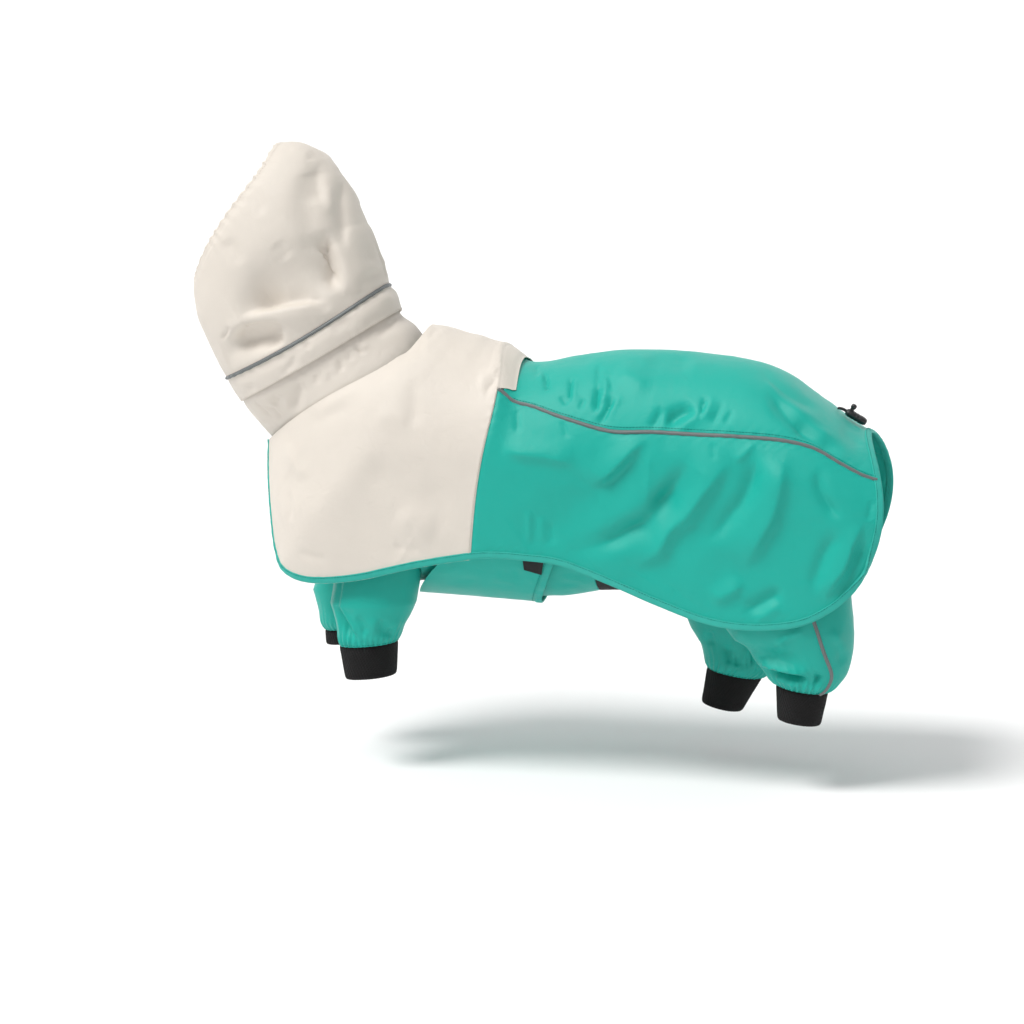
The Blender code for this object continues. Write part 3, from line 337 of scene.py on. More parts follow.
def half_outline(row: np.ndarray, seam_cells: int, rest_cells: int) -> tuple:
    """One half of a section as evenly spaced places.

    Args:
        row: the section.
        seam_cells: cells from its rear point to the seam.
        rest_cells: cells from the seam to its front end.

    Returns:
        The section's length, the distances along it and those out from the middle plane.
    """
    length = math.hypot(row[FRONT_X] - row[REAR_X], row[FRONT_Z] - row[REAR_Z])
    wide = row[WIDE_AT] * length
    turn = np.linspace(0, math.pi / 2, ARC_STEPS)
    along = wide * (1 - np.cos(turn) ** (2 / row[CROWN]))
    out = row[HALF] * np.sin(turn) ** (2 / row[CROWN])
    if row[WIDE_AT] < 0.999:
        foot = 2 / row[FOOT]
        end = math.asin(min(1.0, (max(row[END_HALF], 0.0) / row[HALF]) ** (1 / foot)))
        reach = (length - wide) / math.cos(end) ** foot
        turn = np.linspace(math.pi / 2, end, ARC_STEPS)[1:]
        along = np.concatenate([along, wide + reach * np.maximum(np.cos(turn), 0) ** foot])
        out = np.concatenate([out, row[HALF] * np.maximum(np.sin(turn), 0) ** foot])
    run = np.concatenate([[0], np.cumsum(np.hypot(np.diff(along), np.diff(out)))])
    seam = np.interp(row[SEAM_AT] * length, along, run)
    wanted = np.concatenate(
        [seam * np.arange(seam_cells) / seam_cells, np.linspace(seam, run[-1], rest_cells + 1)]
    )
    return length, np.interp(wanted, run, along), np.interp(wanted, run, out)


def lofted(
    table: np.ndarray,
    places: Sequence[float],
    seam_cells: int,
    rest_cells: int,
    ring: bool = False,
    middle: float = 0.0,
) -> Grid:
    """A surface through a section table.

    Args:
        table: the sections.
        places: positions along the table, one for each row of the grid.
        seam_cells: cells between a section's rear point and its seam.
        rest_cells: cells between the seam and the front end.
        ring: whether each row goes all round.
        middle: the middle plane's Y.

    Returns:
        The grid, from the suit's left over the middle to its right, or round by the right.
    """
    rows = []
    for place in places:
        row = at(table, place)
        length, along, out = half_outline(row, seam_cells, rest_cells)
        t = along / length
        back = row[BOW] * 4 * t * (1 - t) + row[DIP] * t * (1 - t) ** 4 / 0.2 / 0.8**4
        ux, uz = (row[FRONT_X] - row[REAR_X]) / length, (row[FRONT_Z] - row[REAR_Z]) / length
        x = row[REAR_X] + ux * along - uz * back
        z = row[REAR_Z] + uz * along + ux * back
        right = np.stack([x, out + middle, z], 1)
        left = np.stack([x, middle - out, z], 1)
        rows.append(np.concatenate([right, left[1:-1][::-1]] if ring else [left[1:][::-1], right]))
    return np.array(rows)


def places_along(
    table: np.ndarray, pitch: float, start: float = 0, end: Optional[float] = None
) -> list[float]:
    """Positions along a table about one pitch apart, its own rows among them."""
    end = len(table) - 1 if end is None else end
    found = [float(start)]
    while found[-1] < end - 1e-6:
        low = found[-1]
        high = min(math.floor(low + 1e-6) + 1, end)
        a, b = at(table, low), at(table, high)
        span = max(
            math.dist(a[:2], b[:2]),
            math.hypot(math.dist(a[2:4], b[2:4]), a[END_HALF] - b[END_HALF]),
        )
        cells = max(1, round(span / pitch))
        found += [low + (high - low) * (k + 1) / cells for k in range(cells)]
    return found


def unit(vectors: np.ndarray) -> np.ndarray:
    """Vectors at length one."""
    return vectors / np.maximum(np.linalg.norm(vectors, axis=-1, keepdims=True), 1e-9)


def facing(grid: Grid, ring: bool = False) -> Grid:
    """The outward unit normals of a grid."""
    down = np.gradient(grid, axis=0)
    over = (
        (np.roll(grid, -1, 1) - np.roll(grid, 1, 1)) / 2 if ring else np.gradient(grid, axis=1)
    )
    return unit(np.cross(down, over))


def arcs(grid: Grid) -> tuple[np.ndarray, np.ndarray]:
    """Distances along each row from its first column, and down each column from its first row."""
    over = np.linalg.norm(np.diff(grid, axis=1), axis=-1)
    down = np.linalg.norm(np.diff(grid, axis=0), axis=-1)
    across = np.concatenate([np.zeros((len(grid), 1)), np.cumsum(over, 1)], 1)
    along = np.concatenate([np.zeros((1, grid.shape[1])), np.cumsum(down, 0)], 0)
    return across, along


def ring_run(grid: Grid) -> np.ndarray:
    """Distance round each row of a ring from its rear point."""
    return arcs(np.concatenate([grid, grid[:, :1]], 1))[0][:, :-1]


def smoothed(values: np.ndarray, times: int) -> np.ndarray:
    """A list of points evened out between its two ends."""
    for _ in range(times):
        values[1:-1] = (values[:-2] + 2 * values[1:-1] + values[2:]) / 4
    return values


def noise(points: np.ndarray, size: float, seed: float) -> np.ndarray:
    """Smooth noise from -1 to 1.

    Args:
        points: places in millimetres.
        size: the width of its lumps.
        seed: any number: each gives other lumps.

    Returns:
        One value for each place.
    """
    q = points / size + seed * 7.31
    cell = np.floor(q)
    f = q - cell
    f = f * f * (3 - 2 * f)
    total = 0.0
    for corner in range(8):
        bits = np.array([corner & 1, corner >> 1 & 1, corner >> 2 & 1])
        c = cell + bits
        value = np.sin(c @ np.array([127.1, 311.7, 74.7]) + seed) * 43758.5453
        weight = np.prod(np.where(bits, f, 1 - f), axis=-1)
        total = total + weight * (2 * (value - np.floor(value)) - 1)
    return total


def line_noise(distance: np.ndarray, size: float, seed: float) -> np.ndarray:
    """Smooth noise along a line."""
    flat = np.zeros(distance.shape + (3,))
    flat[..., 0] = distance
    return noise(flat, size, seed)


def smooth_step(value: np.ndarray, low: float, high: float) -> np.ndarray:
    """0 below low, 1 above high, smooth between."""
    t = np.clip((value - low) / (high - low), 0, 1)
    return t * t * (3 - 2 * t)


def crease_height(
    grid: Grid,
    normals: Grid,
    table: Sequence[Crease],
    plain: bool = False,
    middle: float = 0.0,
    fade: float = 0.3,
) -> np.ndarray:
    """How far a table's creases lift a grid, on both sides of the suit.

    Args:
        grid: the surface.
        normals: its normals.
        table: the creases, as seen from the suit's left.
        plain: whether they are the solids' own large folds, with no unevenness.
        middle: the Y that parts the near side from the far one.
        fade: how far sideways the cloth faces where the creases are at their full height.

    Returns:
        A height for each point. The far side has like creases a little further back.
    """
    far = grid[..., 1] > middle
    x = grid[..., 0] - np.where(far, FAR_SIDE_SHIFT, 0.0)
    z = grid[..., 2]
    if not plain:
        x = x + np.where(far, FAR_SWAY_X * np.sin(z / FAR_SWAY_X_LENGTH), 0.0)
        z = z + np.where(far, FAR_SWAY_Z * np.sin(x / FAR_SWAY_Z_LENGTH), 0.0)
    height = np.zeros(grid.shape[:2])
    for n, crease in enumerate(table):
        run = np.array([crease.x1 - crease.x0, crease.z1 - crease.z0])
        length = float(np.hypot(*run))
        dx, dz = x - crease.x0, z - crease.z0
        t = (dx * run[0] + dz * run[1]) / length**2
        bump = np.clip(4 * t * (1 - t), 0, 1)
        away = (run[0] * dz - run[1] * dx) / length - crease.bow * bump
        lift = np.sqrt(bump)
        if not plain:
            lift = smooth_step(t, 0, END_FADE) * smooth_step(1 - t, 0, END_FADE)
            away = away + crease.width * WANDER * line_noise(t * length, WANDER_LENGTH, n + 0.5)
            uneven = UNEVEN * line_noise(t * length, UNEVEN_LENGTH, n + 9.5)
            lift = lift * (1 - UNEVEN / 2 + uneven) * np.interp(crease.width, NARROW_TO_BROAD, GAINS)
        q = away / (crease.width * np.where(away > 0, 1 + crease.lean, 1 / (1 + crease.lean)))
        soft = np.exp(-q * q)
        sharp = np.exp(RIDGE_FALL * (RIDGE_ROUNDING - np.hypot(q, RIDGE_ROUNDING)))
        height += crease.height * lift * (soft * (1 - crease.crisp) + sharp * crease.crisp)
    if not plain:
        height = height * smooth_step(np.abs(normals[..., 1]), 0.04, fade)
    return height * np.where(far, FAR_SIDE_SHARE, 1.0)


def crumple(grid: Grid, height: float, size: float, seed: float) -> np.ndarray:
    """Soft unevenness with faint ridges, as coated cloth has.

    Args:
        grid: the surface.
        height: its height.
        size: the width of its largest lumps.
        seed: any number.

    Returns:
        A height for each point.
    """
    slow = noise(grid, size, seed)
    ridge = 1 - 2 * np.abs(noise(grid, size * 0.55, seed + 3))
    fine = 1 - 2 * np.abs(noise(grid, size * 0.24, seed + 5))
    return height * (0.6 * slow + 0.3 * ridge + 0.14 * fine)


def pucker(
    run: np.ndarray, away: np.ndarray, pitch: float, reach: float, height: float, seed: float
) -> np.ndarray:
    """The small pleats that a line of sewing draws in the cloth beside it.

    Args:
        run: distance along the sewing.
        away: distance from it.
        pitch: from one pleat to the next.
        reach: how far they run into the cloth.
        height: their height at the sewing.
        seed: any number.

    Returns:
        A height for each point.
    """
    warped = run / pitch + 0.55 * line_noise(run, pitch * 2.3, seed)
    size = 0.65 + 0.45 * line_noise(run, pitch * 3.1, seed + 4)
    reach = reach * (0.75 + 0.5 * line_noise(run, pitch * 1.7, seed + 8))
    return height * size * np.sin(2 * math.pi * warped) * np.exp(-np.abs(away) / reach)


# ------------------------------------------------------------------------ meshes


def mesh_object(name: str, points: np.ndarray, quads: np.ndarray, uv: np.ndarray) -> bpy.types.Object:
    """A mesh from points in millimetres, turned so that its faces look out.

    Args:
        name: the piece's name.
        points: its points.
        quads: four indices a face.
        uv: places on the flat cloth in metres, for each face's corners.

    Returns:
        The object, linked and smooth.
    """
    a, b, c, d = (points[quads[:, k]] for k in range(4))
    volume = np.einsum("ij,ij->i", a, np.cross(b, c) + np.cross(c, d)).sum()
    if volume < 0:
        quads, uv = quads[:, ::-1], uv[:, ::-1]
    mesh = bpy.data.meshes.new(name)
    mesh.vertices.add(len(points))
    mesh.vertices.foreach_set("co", (points * MM).astype(np.float32).ravel())
    mesh.loops.add(quads.size)
    mesh.loops.foreach_set("vertex_index", np.ascontiguousarray(quads, np.int32).ravel())
    mesh.polygons.add(len(quads))
    mesh.polygons.foreach_set("loop_start", np.arange(0, quads.size, 4, dtype=np.int32))
    mesh.polygons.foreach_set("use_smooth", np.ones(len(quads), bool))
    layer = mesh.uv_layers.new(name="cloth")
    layer.data.foreach_set("uv", np.ascontiguousarray(uv, np.float32).ravel())
    mesh.update(calc_edges=True)
    mesh.validate()
    mesh.set_sharp_from_angle(angle=math.radians(50))
    made = bpy.data.objects.new(name, mesh)
    bpy.context.scene.collection.objects.link(made)
    return made


def shell(
    name: str, outer: Grid, thick: float, ring: bool = False, keep: Optional[np.ndarray] = None
) -> bpy.types.Object:
    """A thin cloth wall inside a grid.

    Args:
        name: the piece's name.
        outer: its outer face.
        thick: its thickness.
        ring: whether its rows go all round.
        keep: which of its cells are there, or None for all.

    Returns:
        The object.
    """
    rows, columns = outer.shape[:2]
    inner = outer - facing(outer, ring) * thick
    wide = columns if ring else columns - 1
    keep = np.ones((rows - 1, wide), bool) if keep is None else keep
    closed = np.concatenate([outer, outer[:, :1]], 1) if ring else outer
    across, along = arcs(closed)
    flat = np.stack([across, along], -1) * MM
    i, j = np.nonzero(keep)
    corners = [(i, j), (i + 1, j), (i + 1, j + 1), (i, j + 1)]
    layer = rows * columns

    def index(corner: tuple, inside: bool) -> np.ndarray:
        """The point's number in the mesh."""
        return corner[0] * columns + corner[1] % columns + (layer if inside else 0)

    outside = np.stack([index(c, False) for c in corners], 1)
    inside = np.stack([index(c, True) for c in corners], 1)[:, ::-1]
    uv = np.stack([flat[c] for c in corners], 1)
    faces, uvs = [outside, inside], [uv, uv[:, ::-1]]
    padded = np.zeros((rows + 1, wide + 2), bool)
    padded[1:-1, 1:-1] = keep
    if ring:
        padded[1:-1, 0], padded[1:-1, -1] = keep[:, -1], keep[:, 0]
    sides = ((0, 1, (0, -1)), (1, 2, (1, 0)), (2, 3, (0, 1)), (3, 0, (-1, 0)))
    for first, second, (di, dj) in sides:
        bare = ~padded[i + 1 + di, j + 1 + dj]
        a, b = ([corners[k][0][bare], corners[k][1][bare]] for k in (first, second))
        faces.append(np.stack([index(b, False), index(a, False), index(a, True), index(b, True)], 1))
        ua, ub = flat[a[0], a[1]], flat[b[0], b[1]]
        uvs.append(np.stack([ub, ua, ua, ub], 1))
    quads, uvs = np.concatenate(faces), np.concatenate(uvs)
    used, renumbered = np.unique(quads, return_inverse=True)
    points = np.concatenate([outer.reshape(-1, 3), inner.reshape(-1, 3)])[used]
    return mesh_object(name, points, renumbered.reshape(quads.shape), uvs)


def swept(
    name: str, path: np.ndarray, up: np.ndarray, profile: np.ndarray, ring: bool = False
) -> bpy.types.Object:
    """A closed profile carried along a path.

    Args:
        name: the piece's name.
        path: its points.
        up: the profile's second axis at each point.
        profile: pairs across and up, the same for each point or one list for each.
        ring: whether the path is closed.

    Returns:
        The object, capped at open ends.
    """
    ahead = np.roll(path, -1, 0) - np.roll(path, 1, 0) if ring else np.gradient(path, axis=0)
    side = unit(np.cross(up, ahead))
    profile = np.broadcast_to(profile, (len(path),) + profile.shape[-2:])
    loops = path[:, None] + side[:, None] * profile[..., :1] + up[:, None] * profile[..., 1:]
    return tube_of(name, loops, ring)


def folded(half: Sequence[tuple]) -> np.ndarray:
    """A tape's profile from its upper half: pairs of place across it and height."""
    return np.array(list(half) + [(a, -b) for a, b in half[::-1]])


def cord_profile(half: Sequence[tuple], foot: Sequence[tuple]) -> np.ndarray:
    """A piping's profile.

    Args:
        half: its right half, top first.
        foot: what lies in the cloth.

    Returns:
        The whole profile, left edge first.
    """
    return np.array([(-a, b) for a, b in half[:0:-1]] + list(half) + list(foot))


def tube_of(name: str, loops: np.ndarray, ring: bool = False) -> bpy.types.Object:
    """A solid through closed loops of points.

    Args:
        name: the piece's name.
        loops: count x size x 3.
        ring: whether the last loop joins the first.

    Returns:
        The object, capped at open ends.
    """
    if not ring:
        ends = [loops[:1].mean(1, keepdims=True) * 0.98 + loops[:1] * 0.02]
        last = [loops[-1:].mean(1, keepdims=True) * 0.98 + loops[-1:] * 0.02]
        loops = np.concatenate(ends + [loops] + last)
    count, size = loops.shape[:2]
    k = np.arange(count if ring else count - 1)[:, None]
    n = np.arange(size)[None, :]
    after, turn = (k + 1) % count, (n + 1) % size
    quads = np.stack(
        [k * size + n, k * size + turn, after * size + turn, after * size + n], -1
    ).reshape(-1, 4)
    run = np.concatenate([[0], np.cumsum(np.linalg.norm(np.diff(loops.mean(1), axis=0), axis=1))])
    run = np.append(run, run[-1] + 3) * MM
    round_ = np.concatenate(
        [[0], np.cumsum(np.linalg.norm(np.diff(loops[count // 2], axis=0), axis=1))]
    )
    round_ = np.append(round_, round_[-1] + 1) * MM
    k, n = np.broadcast_arrays(k, n)
    uv = np.stack(
        [
            np.stack([round_[n], run[k]], -1),
            np.stack([round_[n + 1], run[k]], -1),
            np.stack([round_[n + 1], run[k + 1]], -1),
            np.stack([round_[n], run[k + 1]], -1),
        ],
        -2,
    ).reshape(-1, 4, 2)
    if not ring:
        fill = []
        for start in (0, (count - 1) * size):
            for m in range(1, size - 2, 2):
                fill.append([start, start + m, start + m + 1, start + m + 2])
        caps = np.array(fill)
        half = len(caps) // 2
        caps[:half] = caps[:half, ::-1]
        quads = np.concatenate([quads, caps])
        uv = np.concatenate([uv, np.zeros((len(caps), 4, 2))])
    return mesh_object(name, loops.reshape(-1, 3), quads, uv)


def resampled(path: np.ndarray, pitch: float, *others: np.ndarray) -> list[np.ndarray]:
    """A path and what goes with its points, at even distances.

    Args:
        path: the points.
        pitch: the distance wanted.
        others: arrays with a row for each point.

    Returns:
        The new path and the other arrays read at its points.
    """
    run = np.concatenate([[0], np.cumsum(np.linalg.norm(np.diff(path, axis=0), axis=1))])
    wanted = np.linspace(0, run[-1], max(2, int(run[-1] / pitch) + 1))
    found = []
    for array in (path,) + others:
        found.append(np.stack([np.interp(wanted, run, array[:, k]) for k in range(3)], 1))
    return found


@dataclass(frozen=True)
class Stitches:
    """A lockstitch line: the length of a stitch, the gap after it and the thread's half width."""

    long: float = 2.5
    gap: float = 0.9
    thread: float = 0.26

    def sewn(self, name: str, paths: Sequence[tuple[np.ndarray, np.ndarray]]) -> bpy.types.Object:
        """Thread along paths that lie on the cloth.

        Args:
            name: the piece's name.
            paths: pairs of points and normals.

        Returns:
            One object with a small rounded solid for each stitch.
        """
        turn = np.arange(6) * math.pi / 3
        shape = []
        for along, share in ((-1, 0.3), (-0.75, 1.0), (0.75, 1.0), (1, 0.3)):
            ring = np.stack([np.full(6, along), np.cos(turn) * share, np.sin(turn) * share], 1)
            shape.append(ring)
        shape = np.array(shape)
        loops = []
        for path, up in paths:
            path, up = resampled(path, self.long + self.gap, path * 0 + up)
            ahead, up = unit(np.gradient(path, axis=0)), unit(up)
            side = np.cross(up, ahead)
            s = shape.reshape(1, 24, 3)
            loops.append(
                path[:, None]
                + ahead[:, None] * s[..., :1] * self.long / 2
                + side[:, None] * s[..., 1:2] * self.thread
                + up[:, None] * (s[..., 2:] * self.thread + self.thread * 0.6)
            )
        points = np.concatenate(loops)
        count = len(points)
        k = np.arange(3)[:, None]
        n = np.arange(6)[None, :]
        turned = (n + 1) % 6
        one = np.stack([k * 6 + n, k * 6 + turned, k * 6 + 6 + turned, k * 6 + 6 + n], -1)
        caps = np.array([[3, 2, 1, 0], [5, 4, 3, 0], [18, 19, 20, 21], [18, 21, 22, 23]])
        one = np.concatenate([one.reshape(-1, 4), caps])
        quads = (one[None] + np.arange(count)[:, None, None] * 24).reshape(-1, 4)
        return mesh_object(name, points.reshape(-1, 3), quads, np.zeros(quads.shape + (2,)))


# --------------------------------------------------------------------- finishes


def shader_group(name: str, inputs: dict, outputs: dict, wire: Callable) -> bpy.types.NodeTree:
    """A shader node group, built once.

    Args:
        name: its name.
        inputs: socket name to (socket type, default).
        outputs: socket name to socket type.
        wire: called with the tree, its input node and its output node.

    Returns:
        The group.
    """
    tree = bpy.data.node_groups.get(name)
    if tree:
        return tree
    tree = bpy.data.node_groups.new(name, "ShaderNodeTree")
    for title, (kind, default) in inputs.items():
        made = tree.interface.new_socket(title, in_out="INPUT", socket_type=kind)
        if default is not None:
            made.default_value = default
    for title, kind in outputs.items():
        tree.interface.new_socket(title, in_out="OUTPUT", socket_type=kind)
    wire(tree, tree.nodes.new("NodeGroupInput"), tree.nodes.new("NodeGroupOutput"))
    return tree


def calculated(tree: bpy.types.NodeTree, operation: str, *values: object) -> bpy.types.NodeSocket:
    """A Math node's result from sockets or numbers."""
    node = tree.nodes.new("ShaderNodeMath")
    node.operation = operation
    for n, value in enumerate(values):
        if isinstance(value, bpy.types.NodeSocket):
            tree.links.new(value, node.inputs[n])
        else:
            node.inputs[n].default_value = value
    return node.outputs[0]


def feed(tree: bpy.types.NodeTree, node: bpy.types.Node, values: dict) -> bpy.types.Node:
    """Sets a node's inputs.

    Args:
        tree: the tree that it is in.
        node: the node.
        values: input name to a number, a colour or the socket to link.

    Returns:
        The node.
    """
    for title, value in values.items():
        if isinstance(value, bpy.types.NodeSocket):
            tree.links.new(value, node.inputs[title])
        else:
            node.inputs[title].default_value = value
    return node


def added(tree: bpy.types.NodeTree, kind: str, values: dict) -> bpy.types.Node:
    """A new shader node with its inputs set."""
    return feed(tree, tree.nodes.new(f"ShaderNode{kind}"), values)


def grouped(tree: bpy.types.NodeTree, group: bpy.types.NodeTree, values: dict) -> bpy.types.Node:
    """A new node that stands for a group, with its inputs set."""
    node = tree.nodes.new("ShaderNodeGroup")
    node.node_tree = group
    return feed(tree, node, values)


FLOAT, VECTOR, COLOUR = "NodeSocketFloat", "NodeSocketVector", "NodeSocketColor"


def weave_group() -> bpy.types.NodeTree:
    """Crossed threads or slanted ribs, read from the flat cloth's own places in metres."""

    def wire(
        tree: bpy.types.NodeTree, given: bpy.types.Node, result: bpy.types.Node
    ) -> None:
        """Waves across and along, turned by the slant."""
        split = tree.nodes.new("ShaderNodeSeparateXYZ")
        tree.links.new(given.outputs["Cloth"], split.inputs[0])
        turn = calculated(tree, "DIVIDE", 2 * math.pi, given.outputs["Thread"])
        slant = calculated(tree, "MULTIPLY", split.outputs[1], given.outputs["Slant"])
        across = calculated(tree, "ADD", split.outputs[0], slant)
        warp = calculated(tree, "SINE", calculated(tree, "MULTIPLY", across, turn))
        weft = calculated(tree, "SINE", calculated(tree, "MULTIPLY", split.outputs[1], turn))
        crossed = calculated(tree, "MULTIPLY", warp, weft)
        ribbed = calculated(tree, "MULTIPLY", warp, given.outputs["Rib"])
        height = calculated(tree, "ADD", crossed, ribbed)
        tree.links.new(height, result.inputs["Height"])

    return shader_group(
        "woven_threads",
        {
            "Cloth": (VECTOR, None),
            "Thread": (FLOAT, 0.0006),
            "Slant": (FLOAT, 0.0),
            "Rib": (FLOAT, 0.0),
        },
        {"Height": FLOAT},
        wire,
    )


def drift_group() -> bpy.types.NodeTree:
    """A colour that drifts a little over the cloth, with a mask of the same drift."""

    def wire(
        tree: bpy.types.NodeTree, given: bpy.types.Node, result: bpy.types.Node
    ) -> None:
        """Two sizes of noise lighten and darken the colour."""
        total = None
        for size, share in ((9.0, 0.65), (46.0, 0.35)):
            look = {"Scale": size, "Detail": 2.0, "Vector": given.outputs["Place"]}
            lumps = added(tree, "TexNoise", look)
            part = calculated(tree, "MULTIPLY", lumps.outputs["Fac"], share)
            total = part if total is None else calculated(tree, "ADD", total, part)
        swing = calculated(tree, "SUBTRACT", total, 0.5)
        value = calculated(tree, "MULTIPLY_ADD", swing, given.outputs["Amount"], 1.0)
        look = {"Color": given.outputs["Colour"], "Value": value}
        shade = added(tree, "HueSaturation", look)
        feed(tree, result, {"Colour": shade.outputs[0], "Mask": total})

    return shader_group(
        "cloth_drift",
        {"Place": (VECTOR, None), "Colour": (COLOUR, None), "Amount": (FLOAT, 0.2)},
        {"Colour": COLOUR, "Mask": FLOAT},
        wire,
    )


def rumple_group() -> bpy.types.NodeTree:
    """The fine unevenness of cloth that has been folded and worn."""

    def wire(
        tree: bpy.types.NodeTree, given: bpy.types.Node, result: bpy.types.Node
    ) -> None:
        """Stretched noise and faint ridges."""
        look = {"Detail": 3.0, "Distortion": 0.8, "Vector": given.outputs["Place"]}
        lumps = added(tree, "TexNoise", look | {"Scale": given.outputs["Scale"]})
        centred = calculated(tree, "SUBTRACT", lumps.outputs["Fac"], 0.5)
        ridge = calculated(tree, "ABSOLUTE", centred)
        height = calculated(tree, "MULTIPLY_ADD", ridge, -1.2, lumps.outputs["Fac"])
        tree.links.new(height, result.inputs["Height"])

    return shader_group(
        "worn_rumple",
        {"Place": (VECTOR, None), "Scale": (FLOAT, 60.0)},
        {"Height": FLOAT},
        wire,
    )


@dataclass(frozen=True)
class Finish:
    """A cloth, cord or plastic finish and the slot of the record that it belongs to."""

    name: str
    slot: str
    colour: tuple
    roughness: tuple = (0.5, 0.62)
    drift: float = 0.12
    thread: float = 0.0006
    slant: float = 0.0
    rib: float = 0.0
    weave_depth: float = 0.00003
    rumple_scale: float = 70.0
    rumple_depth: float = 0.0003
    sheen: float = 0.0
    sheen_roughness: float = 0.5
    specular: float = 0.5
    metallic: float = 0.0
    coat: float = 0.0

    def material(self) -> bpy.types.Material:
        """The finish as a node material, made once."""
        made = bpy.data.materials.get(self.name)
        if made:
            return made
        made = bpy.data.materials.new(self.name)
        made.use_nodes = True
        tree = made.node_tree
        place = added(tree, "TexCoord", {})
        spot = {"Place": place.outputs["Object"]}
        look = {"Colour": (*self.colour, 1), "Amount": self.drift}
        drift = grouped(tree, drift_group(), look | spot)
        look = {"From Min": 0.3, "From Max": 0.7, "Value": drift.outputs["Mask"]}
        look |= {"To Min": self.roughness[0], "To Max": self.roughness[1]}
        gloss = added(tree, "MapRange", look)
        rumple = grouped(tree, rumple_group(), {"Scale": self.rumple_scale} | spot)
        look = {"Thread": self.thread, "Slant": self.slant, "Rib": self.rib}
        weave = grouped(tree, weave_group(), look | {"Cloth": place.outputs["UV"]})
        look = {"Strength": 1.0, "Distance": self.rumple_depth, "Height": rumple.outputs["Height"]}
        worn = added(tree, "Bump", look)
        look = {"Strength": 1.0, "Distance": self.weave_depth, "Height": weave.outputs["Height"]}
        woven = added(tree, "Bump", look | {"Normal": worn.outputs["Normal"]})
        finish = {
            "Base Color": drift.outputs["Colour"],
            "Roughness": gloss.outputs[0],
            "Normal": woven.outputs["Normal"],
            "Sheen Weight": self.sheen,
            "Sheen Roughness": self.sheen_roughness,
            "Specular IOR Level": self.specular,
            "Metallic": self.metallic,
            "Coat Weight": self.coat,
        }
        feed(tree, tree.nodes["Principled BSDF"], finish)
        return made

    def on(self, piece: bpy.types.Object, *nodes: str) -> bpy.types.Object:
        """Dresses a piece and fastens it to the suit.

        Args:
            piece: the piece.
            nodes: the solids that it stands for.

        Returns:
            The piece.
        """
        piece.data.materials.clear()
        piece.data.materials.append(self.material())
        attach(piece, BODY)
        if nodes:
            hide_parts(*nodes)
        LOG.info("%s: %d faces, %s", piece.name, len(piece.data.polygons), self.name)
        return piece


class Finishes(Enum):
    """The suit's finishes."""

    CREAM = Finish("cream_rain_cloth", "cream_shell", (0.71, 0.655, 0.585))
    TEAL = Finish(
        "teal_rain_cloth",
        "teal_shell",
        (0.003, 0.40, 0.325),
        (0.4, 0.5),
        specular=0.38,
        sheen=0.06,
        sheen_roughness=0.4,
    )
    BINDING = Finish(
        "teal_binding_tape",
        "teal_shell",
        (0.02, 0.49, 0.405),
        (0.5, 0.62),
        thread=0.0017,
        slant=0.9,
        rib=1.0,
        weave_depth=0.00022,
        rumple_scale=110.0,
    )
    KNIT = Finish(
        "black_rib_knit",
        "black_knit",
        (0.007, 0.0065, 0.007),
        (0.78, 0.9),
        thread=0.0017,
        rib=1.6,
        weave_depth=0.00022,
        rumple_scale=90.0,
        specular=0.3,
        sheen=0.03,
    )
    WEBBING = Finish(
        "black_webbing",
        "black_knit",
        (0.014, 0.013, 0.014),
        (0.6, 0.75),
        thread=0.0012,
        rib=0.6,
        weave_depth=0.00018,
        specular=0.35,
    )
    PIPING = Finish(
        "grey_reflective_piping",
        "grey_reflective",
        (0.155, 0.17, 0.172),
        (0.4, 0.52),
        thread=0.0009,
        weave_depth=0.00004,
        rumple_scale=220.0,
        rumple_depth=0.0002,
        metallic=0.15,
    )
    CREAM_THREAD = Finish("cream_thread", "cream_shell", (0.62, 0.56, 0.49), thread=0.0004)
    # Teal thread, darkened with painted shade: its dark colour and low specular stand in for the shadow
    # line beside the sewing as well as for the thread itself
    TEAL_THREAD_AND_SHADE = Finish("teal_thread_and_painted_shade", "teal_shell", (0.001, 0.14, 0.115), thread=0.0004, specular=0.08)
    CORD = Finish(
        "black_cord_braid",
        "black_cord",
        (0.016, 0.015, 0.017),
        (0.7, 0.8),
        thread=0.0012,
        slant=1.2,
        rib=0.5,
        weave_depth=0.0002,
    )
    PLASTIC = Finish(
        "black_moulded_plastic",
        "black_plastic",
        (0.014, 0.014, 0.016),
        (0.3, 0.42),
        weave_depth=0.0,
        rumple_scale=400.0,
        rumple_depth=0.00005,
        coat=0.05,
    )

    def on(self, piece: bpy.types.Object, *nodes: str) -> bpy.types.Object:
        """Dresses a piece, as Finish.on does."""
        return self.value.on(piece, *nodes)


@dataclass(frozen=True)
class Cut:
    """The flat cut of a cloth piece in metres, its area in square metres and how it is held."""

    width: float
    length: float
    area: float
    held: str = "stretched"

    def declare(self, piece: bpy.types.Object, *with_pieces: bpy.types.Object) -> None:
        """Does nothing; the piece's cut is not stated anywhere."""


